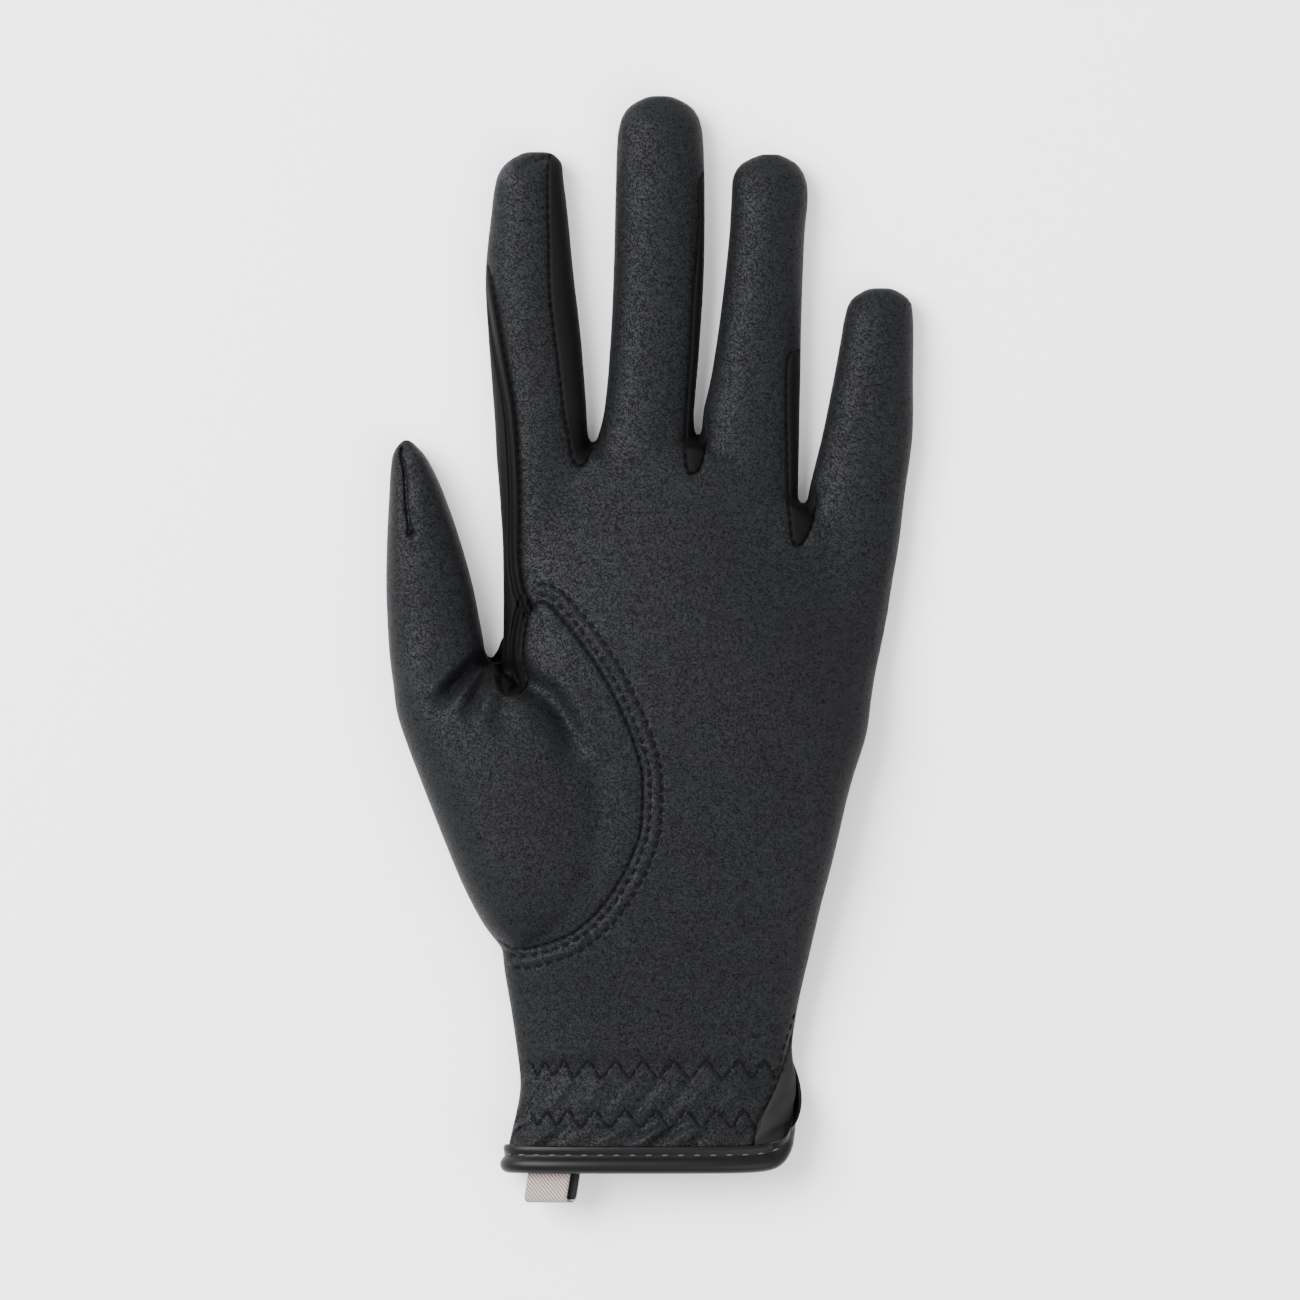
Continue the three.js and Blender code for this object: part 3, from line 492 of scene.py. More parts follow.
def loft(bm, ring_makers, segments, closed_round=False):
    """A tube through rings of points, its ends filled, or closed on itself."""
    rings = [add_ring(bm, maker, segments) for maker in ring_makers]
    for (_, first), (_, second) in zip(rings, rings[1:]):
        bmesh.ops.bridge_loops(bm, edges=first + second)
    if closed_round:
        bmesh.ops.bridge_loops(bm, edges=rings[-1][1] + rings[0][1])
    else:
        bmesh.ops.edgeloop_fill(bm, edges=rings[0][1])
        bmesh.ops.edgeloop_fill(bm, edges=rings[-1][1])
    return rings


def add_tube(bm, rows, squareness, spacing=1.6, segments=48):
    """One finger's, the thumb's or the crotch's closed tube."""
    end = rows[-1]
    rows = [*rows[:-1], (end[0] + TIP_ALLOWANCE, *end[1:])]
    at = smooth_rows(rows)
    first, last = rows[0][0], rows[-1][0]
    count = int((last - first) / spacing)
    shares = 1 - (1 - np.linspace(0, 1, count)) ** TIP_CROWDING
    tip_shares = (last - TIP_FINE * np.linspace(1, 0, TIP_RINGS + 1) - first) / (last - first)
    shares = [*shares[shares < tip_shares[0]], *tip_shares]

    def ring(y):
        """The places of a ring, by their angle."""
        left, right, depth, floor = at(y)

        def place(angle):
            """A ring's place at an angle."""
            x, z = section(left, right, depth, floor, angle, squareness)[:2]
            return (x, y, z)

        return place

    loft(bm, [ring(first + (last - first) * share) for share in shares], segments)


HAND_RINGS = 90
# The first rings are pushed up from the edge by this much, fading over this share of the palm.
EDGE_PUSH = 2.0
EDGE_PUSH_FADE = 0.12
# Degrees round the webs' rounding at which there is a ring
WEB_TURNS = [20, 40, 55, 68, 78]


def add_hand(bm, segments=72):
    """The hand's closed tube, from just inside the cuff edge to the rounded webs."""
    makers = []
    for along in np.linspace(0, 1, HAND_RINGS):
        push = EDGE_PUSH * max(0.0, 1 - along / EDGE_PUSH_FADE)
        makers.append(lambda angle, a=along, p=push: hand_point(a, angle, p * edge_stretch(angle)))
    for turn in np.radians(WEB_TURNS):
        makers.append(
            lambda angle, t=turn: hand_point(1.0, angle, WEB_ROUND * math.sin(t), math.cos(t))
        )
    loft(bm, makers, segments)


def object_from(bm, name):
    """A new object with the bmesh's shape, linked to the scene."""
    mesh = bpy.data.meshes.new(name)
    bm.to_mesh(mesh)
    bm.free()
    piece = bpy.data.objects.new(name, mesh)
    bpy.context.scene.collection.objects.link(piece)
    return piece


SOFTEN_FACTOR = 0.5
SOFTEN_TURNS = 5


def glove_form(voxel):
    """The glove's whole outside as one smooth skin."""
    bm = bmesh.new()
    add_hand(bm)
    for name in FINGERS:
        add_tube(bm, finger_rows(name), FINGER_SQUARENESS)
    add_tube(bm, thumb_rows(), THUMB_SQUARENESS)
    add_tube(bm, crotch_rows(), 1.0)
    bmesh.ops.recalc_face_normals(bm, faces=bm.faces)
    form = object_from(bm, "glove_form")
    remesh = form.modifiers.new("skin", "REMESH")
    remesh.mode = "VOXEL"
    remesh.voxel_size = voxel * MM
    smooth = form.modifiers.new("soften", "SMOOTH")
    smooth.factor = SOFTEN_FACTOR
    smooth.iterations = SOFTEN_TURNS
    bpy.context.view_layer.update()
    made = form.evaluated_get(bpy.context.evaluated_depsgraph_get())
    skin = bmesh.new()
    skin.from_mesh(made.to_mesh())
    made.to_mesh_clear()
    bpy.data.objects.remove(form)
    return skin


def glove_seams():
    """All seams by the piece that they bound."""
    seams = {
        "gusset": Seam(smooth_line(plan(GUSSET_SEAM)), plan(GUSSET_OUTSIDE)),
        "side": Seam(smooth_line(plan(SIDE_SEAM)), plan(SIDE_OUTSIDE)),
        "cuff": Seam(smooth_line(photo(CUFF_SEAM)), photo(CUFF_OUTSIDE)),
        "thumb_back": Seam(smooth_line(plan(THUMB_BACK_SEAM)), plan(THUMB_BACK_OUTSIDE)),
    }
    for name, (line, back) in FOURCHETTES.items():
        seams[name] = Seam(smooth_line(photo(line)), photo(back))
    return seams


def low_strips():
    """The strips below the widest line of the next finger's left side."""
    strips = {}
    for name, points in LOW_STRIPS.items():
        line = smooth_line(photo(points))
        strips[name] = Seam(line, line[::-1] - [LOW_STRIP_REACH, 0])
    return strips


SEAMS = glove_seams()
LOW_SEAMS = low_strips()


def places(bm):
    """The vertices' places in millimetres."""
    return np.array([vert.co for vert in bm.verts]) / MM


LEVEL_SLACK = 0.01
# An edge isn't cut nearer to its end than this share of it.
CUT_MARGIN = 0.02


def cut_along(bm, signed, low=-math.inf, high=math.inf):
    """Splits the faces between two heights where the signed distance crosses zero."""
    bm.verts.ensure_lookup_table()
    bm.edges.ensure_lookup_table()
    bm.verts.index_update()
    spots = places(bm)
    values = signed(spots)
    ends = np.array([(edge.verts[0].index, edge.verts[1].index) for edge in bm.edges])
    first, second = values[ends[:, 0]], values[ends[:, 1]]
    level = (spots[:, 2] > low - LEVEL_SLACK) & (spots[:, 2] < high + LEVEL_SLACK)
    crossed = (first * second < 0) & level[ends[:, 0]] & level[ends[:, 1]]
    fresh = []
    for i in np.flatnonzero(crossed):
        share = first[i] / (first[i] - second[i])
        if CUT_MARGIN < share < 1 - CUT_MARGIN:
            fresh.append((bm.edges[i], bm.verts[ends[i, 0]], share))
    made = [bmesh.utils.edge_split(edge, vert, share)[1] for edge, vert, share in fresh]
    bmesh.ops.connect_verts(bm, verts=made, check_degenerate=True)


def fourchette_signed(name, spots):
    """Distance to a side strip's border: its seam, or the low strip beside the next finger."""
    main = SEAMS[name].signed(spots[:, :2])
    low = np.maximum(LOW_SEAMS[name].signed(spots[:, :2]), spots[:, 2] - LOW_STRIP_TOP)
    return np.minimum(main, low)


def hand_angle(points):
    """The angle round the hand's section for points on its surface, near the cuff."""
    along = np.clip((points[:, 1] - SHIFT[1]) / PALM_LENGTH, 0, 1)
    row = hand_at(along)
    left, right, depth = row[:, 0] * HAND_WIDTH, row[:, 1] * HAND_WIDTH, row[:, 2]
    share = np.clip((points[:, 0] - SHIFT[0] - (left + right) / 2) / ((right - left) / 2), -1, 1)
    turn = np.arccos(np.sign(share) * np.abs(share) ** (1 / HAND_SQUARENESS))
    middle = BINDING_LIFT + depth - depth / (2 - FLAT_SINK)
    return np.where(points[:, 2] > middle, turn, -turn)


# The leather ends this far above the roll, behind the band.
LEATHER_GAP = 0.2


def above_cuff_edge(points):
    """How far a point of the surface lies above the leather's lower edge."""
    angle = hand_angle(points)
    turns = np.arange(-180, 181, 3)
    stretch = np.array([edge_stretch(turn) for turn in np.radians(turns)])
    reach = np.interp(np.degrees(angle), turns, stretch) * (ROLL_DIAMETER + LEATHER_GAP)
    return points[:, 1] - SHIFT[1] - vent_rise(angle) - reach


# Zigzag rows at the wrist, in the photograph's frame: middle height, and the corners' places across
ZIGZAG_ROWS = [
    (1068, [
        531, 537, 545, 554, 564, 574, 588, 601, 616, 629, 643, 658, 674, 690, 706, 722, 739, 752, 765, 776,
    ]),
    (1117, [530, 538, 547, 557, 568, 581, 595, 610, 625, 641, 656, 671, 686, 702, 716, 731, 744, 756]),
]
ZIGZAG_HEIGHT = 19
# The first corners at the left are lower, by this share.
ZIGZAG_LOW = 4
ZIGZAG_LOW_SHARE = 0.75
GATHER_PITCH = 8.0
PIPING_GAP = 1.15
# The palm is evened out between these rows of the photograph's frame, in this many turns.
WEB_LEVEL_ROWS = (425, 640)
WEB_LEVEL_TURNS = 40
FLAT_NORMAL = 0.75
# Details fade in between these upward shares of the normal.
DETAIL_NORMALS = (0.1, 0.6)
# Only this near to the solids' lower end is the skin below the leather's edge cut away.
CUFF_REACH = 60
# Edges shorter than this are melted away after the cuts.
SLIVER = 0.06
# A piece with more triangles than this is thinned out evenly.
PIECE_TRIANGLES = 185000


def zigzag_line(row):
    """One row of zigzag stitching across the palm side of the wrist, in plan."""
    middle, places_across = row
    corners = [
        (x, middle + ZIGZAG_HEIGHT / 2 * (1 if k % 2 else -1) * (ZIGZAG_LOW_SHARE if k < ZIGZAG_LOW else 1))
        for k, x in enumerate(places_across)
    ]
    return photo(corners)


ZIGZAGS = [zigzag_line(row) for row in ZIGZAG_ROWS]


def offset_line(line, distance):
    """A line beside another one, at a distance to its left."""
    along = np.gradient(line, axis=0)
    along /= np.linalg.norm(along, axis=1)[:, None]
    return line + np.column_stack([-along[:, 1], along[:, 0]]) * distance


# The gusset's two rows of stitches lie outside its groove, from its top corner to the wrist.
gusset_line = SEAMS["gusset"].line
ROW_START = int(len(gusset_line) * 0.235)
ROW_GAPS = (1.6, 4.2)
stitched_line = gusset_line[ROW_START:]
STITCH_ROWS = [offset_line(stitched_line, distance) for distance in ROW_GAPS]
# Two piped lines run beside the seam at the index finger's outer side.
side_line = SEAMS["side"].line
PIPING = [offset_line(side_line, -distance * PIPING_GAP) for distance in (1, 2)]
crotch_line = smooth_line(photo(CROTCH_EDGE))
CROTCH_PIPING = [offset_line(crotch_line, -distance * PIPING_GAP) for distance in (1, 2)]
DART_LINE = smooth_line(photo(DART))
LIP_LINE = smooth_line(photo(QUIRK_LIP))
FOLD_LINES = [(smooth_line(photo(points), 1.0), width, depth) for points, width, depth in FOLDS]
FOLD_FADE_FROM = 0.4

# Depth and width in mm of each dip across a line or a place. A ridge has a negative depth.
QUIRK_PIT_DIP = (2.6, 3.0)
LIP_RIDGE = (-0.9, 0.75)
LIP_DIP = (0.8, 0.7)
LIP_DIP_GAP = 1.5
KNOT_RIDGE = (-1.4, 1.1)
SEAM_DIP = (0.7, 0.36)
SEAM_HOLLOW = (0.22, 1.5)
PIPING_DIPS = [(-0.7, 0.45), (1.0, 0.45)]
STITCH_DIP = (0.3, 0.5)
STITCH_RIDGE = (-0.22, 0.7)
STITCH_RIDGE_GAP = 2.9
DART_DIP = (1.2, 0.34)
DART_HOLLOW = (0.5, 1.8)
DART_END_DIP = (2.2, 0.7)
ZIGZAG_DIP = (0.25, 0.4)
ELASTIC_DIP = (0.6, 2.4)
# Threads pull unevenly: distance from one pull to the next, and how much the dip swings
SEAM_PULL, SEAM_SWING = 2.2, 0.2
STITCH_PULL, STITCH_SWING, STITCH_PULL_START = 2.5, 0.35, 0.9


def groove(distance, depth, width):
    """A soft dip across a line, by the distance to it."""
    return depth * np.exp(-((distance / width) ** 2))


def pit(points, place, depth, width):
    """A soft dip round a place in the photograph's frame."""
    return groove(np.linalg.norm(points - photo(place)[0], axis=1), depth, width)


def fold_drop(points):
    """How far the folds draw the surface down."""
    drop = np.zeros(len(points))
    for line, width, depth in FOLD_LINES:
        distance, run = distance_to_line(points, line)
        share = run / line_run(line)[-1]
        fade = 1 - smoothstep(share, FOLD_FADE_FROM, 1)
        drop += groove(distance, depth, width) * fade
    drop += pit(points, QUIRK_PIT, *QUIRK_PIT_DIP)
    drop += groove(distance_to_line(points, LIP_LINE)[0], *LIP_RIDGE)
    drop += groove(distance_to_line(points, offset_line(LIP_LINE, LIP_DIP_GAP))[0], *LIP_DIP)
    drop += pit(points, QUIRK_KNOT, *KNOT_RIDGE)
    return drop


def seam_drop(points):
    """How far the seams and the rows of stitches draw the surface down."""
    drop = np.zeros(len(points))
    for name, seam in SEAMS.items():
        if name == "thumb_back":
            continue
        distance, run = distance_to_line(points, seam.line)
        pull = 1 - SEAM_SWING + SEAM_SWING * np.cos(run / SEAM_PULL * 2 * np.pi)
        drop += groove(distance, *SEAM_DIP) * pull + groove(distance, *SEAM_HOLLOW)
    for line, dip in zip(PIPING + CROTCH_PIPING, PIPING_DIPS * 2):
        drop += groove(distance_to_line(points, line)[0], *dip)
    for row in STITCH_ROWS:
        distance, run = distance_to_line(points, row)
        phase = (run - STITCH_PULL_START) / STITCH_PULL * 2 * np.pi
        drop += groove(distance, *STITCH_DIP) * (1 - STITCH_SWING + STITCH_SWING * np.cos(phase))
    ridge = offset_line(stitched_line, STITCH_RIDGE_GAP)
    drop += groove(distance_to_line(points, ridge)[0], *STITCH_RIDGE)
    dart = distance_to_line(points, DART_LINE)[0]
    drop += groove(dart, *DART_DIP) + groove(dart, *DART_HOLLOW)
    drop += pit(points, DART_END, *DART_END_DIP)
    return drop


# Gathers: heights above the edge between which they swell and fade, how steeply they slant, and the
# depth, pitch share and start of each wave
GATHERS = [
    ((12.5, 15, 20, 23), 0.75, [(0.34, 1.0, 0.0), (0.12, 2.3, 1.0)]),
    ((5.5, 7, 10, 12.5), 1.3, [(0.8, 1.0, 0.8), (0.16, 1.7, 0.0)]),
]
# The gathers grow and shrink across the wrist.
GATHER_MEAN, GATHER_SWING, GATHER_SWELL = 0.65, 0.35, 0.19


def gather_drop(points):
    """How far the elastic's zigzags and gathers draw the wrist down."""
    drop = np.zeros(len(points))
    level = (points[:, 1] - SHIFT[1]) / PIXEL
    for line, (middle, _) in zip(ZIGZAGS, ZIGZAG_ROWS):
        drop += groove(distance_to_line(points, line)[0], *ZIGZAG_DIP)
        drop += groove((level - (CUFF_PIXEL - middle)) * PIXEL, *ELASTIC_DIP)
    x, y = points[:, 0], points[:, 1] - SHIFT[1]
    uneven = GATHER_MEAN + GATHER_SWING * np.sin(x * GATHER_SWELL + 1.0)
    for (low, full, fading, high), slant, waves in GATHERS:
        weight = smoothstep(y, low, full) * (1 - smoothstep(y, fading, high)) * uneven
        phase = (x - slant * y) / GATHER_PITCH * 2 * np.pi
        drop += weight * sum(depth * np.sin(share * phase + start) for depth, share, start in waves)
    return drop


def near_lines(points, lines, reach):
    """Whether each plan point lies near one of the lines."""
    near = np.zeros(len(points), bool)
    for line in lines:
        near |= distance_to_line(points, line, reach)[0] < reach
    return near


def refine(bm, lines, reach):
    """Halves the palm side's faces near some lines."""
    bm.verts.index_update()
    spots = places(bm)
    near = near_lines(spots[:, :2], lines, reach) & (spots[:, 2] > SPLIT_HEIGHT - 1)
    edges = [edge for edge in bm.edges if near[edge.verts[0].index] and near[edge.verts[1].index]]
    bmesh.ops.subdivide_edges(bm, edges=edges, cuts=1, use_grid_fill=True)


# The gathers' rows in the photograph's frame, and how near to a line the faces are made smaller
CUFF_LEFT, CUFF_RIGHT = 500, 800
GATHER_ROWS = (1055, 1085, 1100, 1130)
FINE_REACH = 2.4
FINEST_REACH = 0.9


def refine_details(bm):
    """Small faces beside folds, seams and stitches, and smaller ones at the sharp lines."""
    sharp = [seam.line for seam in SEAMS.values()] + [DART_LINE, LIP_LINE, *STITCH_ROWS, *ZIGZAGS]
    cuff = [photo([(CUFF_LEFT, y), (CUFF_RIGHT, y)]) for y in GATHER_ROWS]
    soft = [line for line, _, _ in FOLD_LINES] + PIPING + CROTCH_PIPING + cuff
    refine(bm, sharp + soft, FINE_REACH)
    refine(bm, sharp, FINEST_REACH)


def panel_of(centres):
    """The piece that each face belongs to, by its centre."""
    flat = centres[:, :2]
    upper = centres[:, 2] > SPLIT_HEIGHT
    gusset = inside(flat, SEAMS["gusset"].outline)
    owner = np.where(upper, "palm_panel", "back_panel").astype(object)
    for name in FOURCHETTES:
        owner[upper & (fourchette_signed(name, centres) < 0)] = name
    side = inside(flat, SEAMS["side"].outline) | inside(flat, SEAMS["cuff"].outline)
    owner[upper & side] = "back_panel"
    owner[upper & gusset] = "thumb_piece"
    behind = inside(flat, SEAMS["thumb_back"].outline) & gusset
    owner[~upper & behind] = "thumb_piece"
    return owner


def level_webs(bm):
    """Evens out the palm below the webs, where the fingers' rounds run into the hand."""
    low, high = photo([(0, WEB_LEVEL_ROWS[1]), (0, WEB_LEVEL_ROWS[0])])[:, 1] * MM
    bm.normal_update()
    flat = [vert for vert in bm.verts if low < vert.co.y < high and vert.normal.z > FLAT_NORMAL]
    for _ in range(WEB_LEVEL_TURNS):
        bmesh.ops.smooth_vert(
            bm, verts=flat, factor=0.5, use_axis_x=False, use_axis_y=False, use_axis_z=True
        )


def shape_skin(sizes):
    """The whole skin, with finer faces at its folds and seams, cut where its pieces meet."""
    bm = glove_form(sizes.voxel / MM)
    level_webs(bm)
    refine_details(bm)
    bmesh.ops.bisect_plane(
        bm,
        geom=bm.verts[:] + bm.edges[:] + bm.faces[:],
        plane_co=(0, 0, SPLIT_HEIGHT * MM),
        plane_no=(0, 0, 1),
        dist=1e-6,
    )
    for name in ("gusset", "side", "cuff"):
        cut_along(bm, lambda spots, seam=SEAMS[name]: seam.signed(spots[:, :2]), low=SPLIT_HEIGHT)
    for name in FOURCHETTES:
        cut_along(bm, lambda spots, strip=name: fourchette_signed(strip, spots), low=SPLIT_HEIGHT)
    cut_along(bm, lambda spots: SEAMS["thumb_back"].signed(spots[:, :2]), high=SPLIT_HEIGHT)
    cut_along(bm, above_cuff_edge)
    bmesh.ops.dissolve_degenerate(bm, dist=SLIVER * MM, edges=bm.edges[:])
    centres = np.array([face.calc_center_median() for face in bm.faces]) / MM
    low = (above_cuff_edge(centres) < 0) & (centres[:, 1] < CAD_LOW.y / MM + CUFF_REACH)
    gone = [face for face, out in zip(bm.faces, low) if out]
    bmesh.ops.delete(bm, geom=gone, context="FACES")
    return bm


def note_details(bm):
    """Notes on each vertex how far the details draw the outer and the inner face down there."""
    bm.normal_update()
    spots = places(bm)
    slope = np.array([vert.normal.z for vert in bm.verts])
    weight = smoothstep(slope, *DETAIL_NORMALS)
    active = weight > 0
    flat = spots[active, :2]
    folds = fold_drop(flat)
    whole, inner = np.zeros(len(spots)), np.zeros(len(spots))
    whole[active] = (folds + seam_drop(flat) + gather_drop(flat)) * weight[active]
    inner[active] = folds * weight[active]
    for name, values in (("outer_drop", whole), ("inner_drop", inner)):
        layer = bm.verts.layers.float.new(name)
        for vert, value in zip(bm.verts, values):
            vert[layer] = value * MM


def pressed_tree(bm):
    """A search tree of the outer surface with its details pressed in."""
    skin = bm.copy()
    layer = skin.verts.layers.float["outer_drop"]
    for vert in skin.verts:
        vert.co.z = max(vert.co.z - vert[layer], 0.0)
    skin.normal_update()
    tree = BVHTree.FromBMesh(skin)
    skin.free()
    return tree


def read_floats(items, field, count):
    """A field of all items as an array."""
    values = np.empty(len(items) * count, np.float32)
    items.foreach_get(field, values)
    return values.reshape(-1, count)


def walled_piece(part, name, thickness):
    """A panel with its wall, its details pressed into the outer face and the folds into both."""
    for face in part.faces:
        face.smooth = True
    sheet = object_from(part, f"{name}_sheet")
    outer_count = len(sheet.data.vertices)
    wall = sheet.modifiers.new("wall", "SOLIDIFY")
    wall.thickness = thickness
    wall.offset = -1
    bpy.context.view_layer.update()
    made = sheet.evaluated_get(bpy.context.evaluated_depsgraph_get())
    mesh = bpy.data.meshes.new_from_object(made)
    bpy.data.objects.remove(sheet)
    spots = read_floats(mesh.vertices, "co", 3)
    outer = read_floats(mesh.attributes["outer_drop"].data, "value", 1)[:, 0]
    inner = read_floats(mesh.attributes["inner_drop"].data, "value", 1)[:, 0]
    spots[:outer_count, 2] -= outer[:outer_count]
    spots[outer_count:, 2] -= inner[outer_count:]
    spots[:, 2] = np.maximum(spots[:, 2], 0)
    mesh.vertices.foreach_set("co", spots.ravel())
    for layer in ("outer_drop", "inner_drop"):
        mesh.attributes.remove(mesh.attributes[layer])
    mesh.update()
    piece = bpy.data.objects.new(f"{name}_sewn", mesh)
    bpy.context.scene.collection.objects.link(piece)
    triangles = len(mesh.loops) - 2 * len(mesh.polygons)
    if triangles > PIECE_TRIANGLES:
        thinned = piece.modifiers.new("thinned", "DECIMATE")
        thinned.ratio = PIECE_TRIANGLES / triangles
    return piece


def split_panels(bm):
    """One bmesh for each piece of leather or fabric."""
    centres = np.array([face.calc_center_median() for face in bm.faces]) / MM
    owner = panel_of(centres)
    marks = bm.faces.layers.int.new("piece")
    for face, name in zip(bm.faces, owner):
        face[marks] = PANELS.index(name)
    panels = {}
    for number, name in enumerate(PANELS):
        part = bm.copy()
        layer = part.faces.layers.int["piece"]
        others = [face for face in part.faces if face[layer] != number]
        bmesh.ops.delete(part, geom=others, context="FACES")
        panels[name] = part
    bm.free()
    return panels


def linear(hex_colour, alpha=1.0):
    """An sRGB hex colour as linear red, green, blue and alpha."""
    channels = [int(hex_colour[i:i + 2], 16) / 255 for i in (1, 3, 5)]
    out = [c / 12.92 if c <= 0.04045 else ((c + 0.055) / 1.055) ** 2.4 for c in channels]
    return (*out, alpha)


def add_node(tree, kind, settings=None, inputs=None, links=None, ramp=()):
    """A node of a kind with its settings, its input values, its inputs' links and its ramp's stops."""
    node = tree.nodes.new(kind)
    for key, value in (settings or {}).items():
        setattr(node, key, value)
    for key, value in (inputs or {}).items():
        node.inputs[key].default_value = value
    for key, source in (links or {}).items():
        tree.links.new(source, node.inputs[key])
    for k, (position, colour) in enumerate(ramp):
        node.color_ramp.elements[k].position = position
        node.color_ramp.elements[k].color = colour
    return node


def new_material(name, **shader):
    """A material with a plain shader: the material, its tree, the shader and the object's coordinates."""
    material = bpy.data.materials.new(name)
    material.use_nodes = True
    tree = material.node_tree
    tree.nodes.clear()
    surface = add_node(tree, "ShaderNodeBsdfPrincipled", inputs=shader)
    add_node(tree, "ShaderNodeOutputMaterial", links={"Surface": surface.outputs["BSDF"]})
    return material, tree, surface, add_node(tree, "ShaderNodeTexCoord").outputs["Object"]


def finish_surface(tree, surface, colour, height, strength, distance):
    """Gives the shader its colour, and a bump of a depth in mm by a height."""
    tree.links.new(colour, surface.inputs["Base Color"])
    bump = add_node(
        tree, "ShaderNodeBump", None, {"Strength": strength, "Distance": distance * MM}, {"Height": height}
    )
    tree.links.new(bump.outputs["Normal"], surface.inputs["Normal"])


def shade(colour, share):
    """A darker or lighter tone of a colour property's linear value."""
    return (*[channel * share for channel in colour], 1.0)


def near_place(tree, place, centre, reach):
    """A mask that is 1 at a place of the photograph's frame and fades to 0 at the reach in mm."""
    x, y = photo(centre)[0] * MM
    apart = add_node(
        tree, "ShaderNodeVectorMath", {"operation": "MULTIPLY_ADD"},
        {1: (1, 1, 0), 2: (-x, -y, 0)}, {0: place},
    )
    length = add_node(
        tree, "ShaderNodeVectorMath", {"operation": "LENGTH"}, None, {0: apart.outputs["Vector"]}
    )
    mask = add_node(
        tree, "ShaderNodeMapRange", {"interpolation_type": "SMOOTHSTEP"},
        {"From Min": reach * MM, "From Max": reach * MM * MASK_FULL}, {"Value": length.outputs["Value"]},
    )
    return mask.outputs["Result"]


def mixed(tree, mask, first, colour):
    """A colour output mixed towards a plain colour where the mask is 1."""
    mix = add_node(tree, "ShaderNodeMix", {"data_type": "RGBA"}, None, {"Factor": mask, "A": first})
    mix.inputs["B"].default_value = colour
    return mix.outputs["Result"]


# A mask is full within this share of its reach.
MASK_FULL = 0.3
# Pattern sizes in mm
GRAIN_SIZE = 0.72
SPECK_SIZE = 0.6
LEATHER_CLOUD = 18
KNIT_RIB = 0.8
KNIT_CLOUD = 14
TAPE_GRAIN = 1.2
THREAD_TWIST = 0.3
RIBBON_RIB = 0.7
# Reaches in mm of the paler shoulder and of the painted shade in the corners and webs
PALER_SHOULDER_REACH = 3.6
LEATHER_SHADE_REACH = 9.0
KNIT_SHADE_REACH = 26.0
WEB_SHADE_REACH = 12.0
# Between these heights along the glove, in metres, a painted sheen makes the knit paler towards the cuff.
WRIST_PAINTED_SHEEN = (-0.07, -0.095)


def grained_leather(colour):
    """Embossed synthetic leather, matt black: worm-like creases with slightly paler tops between.

    The real creases lie about 0.5 mm apart. They are drawn a little coarser, so that they show.
    """
    material, tree, surface, place = new_material(
        "embossed_grain_leather", **{"Roughness": 0.58, "IOR": 1.48}
    )
    grain = add_node(
        tree, "ShaderNodeTexNoise", None,
        {"Scale": 1 / (GRAIN_SIZE * MM), "Detail": 1.0, "Roughness": 0.6, "Distortion": 0.6},
        {"Vector": place},
    )
    # The creases lie where the noise passes its middle value.
    offset = add_node(
        tree, "ShaderNodeMath", {"operation": "SUBTRACT"}, {1: 0.5}, {0: grain.outputs["Fac"]}
    )
    apart = add_node(tree, "ShaderNodeMath", {"operation": "ABSOLUTE"}, None, {0: offset.outputs["Value"]})
    crease = add_node(
        tree, "ShaderNodeMapRange", {"interpolation_type": "SMOOTHSTEP"},
        {"From Min": 0.0, "From Max": 0.07}, {"Value": apart.outputs["Value"]},
    ).outputs["Result"]
    speck = add_node(
        tree, "ShaderNodeTexNoise", None, {"Scale": 1 / (SPECK_SIZE * MM), "Detail": 2.0}, {"Vector": place}
    )
    cloud = add_node(
        tree, "ShaderNodeTexNoise", None,
        {"Scale": 1 / (LEATHER_CLOUD * MM), "Detail": 3.0, "Roughness": 0.6}, {"Vector": place},
    )
    tops = add_node(
        tree, "ShaderNodeValToRGB", links={"Fac": speck.outputs["Fac"]},
        ramp=[(0.3, shade(colour, 0.6)), (0.75, shade(colour, 1.7))],
    )
    cloudy = add_node(
        tree, "ShaderNodeMix", {"data_type": "RGBA", "blend_type": "MULTIPLY"}, None,
        {"Factor": cloud.outputs["Fac"], "A": tops.outputs["Color"]},
    )
    cloudy.inputs["B"].default_value = linear("#e6e2df")
    # The index tip's shoulder is drawn paler, and painted shade darkens the pinched corner at the thumb's
    # root.
    paler_shoulder_mask = near_place(tree, place, PALER_TIP_SHOULDER, PALER_SHOULDER_REACH)
    paler_shoulder = mixed(tree, paler_shoulder_mask, cloudy.outputs["Result"], shade(colour, 2.8))
    crotch_shade_mask = near_place(tree, place, CROTCH_PAINTED_SHADE, LEATHER_SHADE_REACH)
    dark = mixed(tree, crotch_shade_mask, paler_shoulder, shade(colour, 0.25))
    final = add_node(tree, "ShaderNodeMix", {"data_type": "RGBA"}, None, {"Factor": crease, "B": dark})
    final.inputs["A"].default_value = shade(colour, 0.08)
    # The tops shine a little more than the creases do.
    shine = add_node(
        tree, "ShaderNodeMapRange", None, {"To Min": 0.065, "To Max": 0.145}, {"Value": crease}
    )
    tree.links.new(shine.outputs["Result"], surface.inputs["Specular IOR Level"])
    finish_surface(tree, surface, final.outputs["Result"], crease, 0.9, 0.1)
    return material


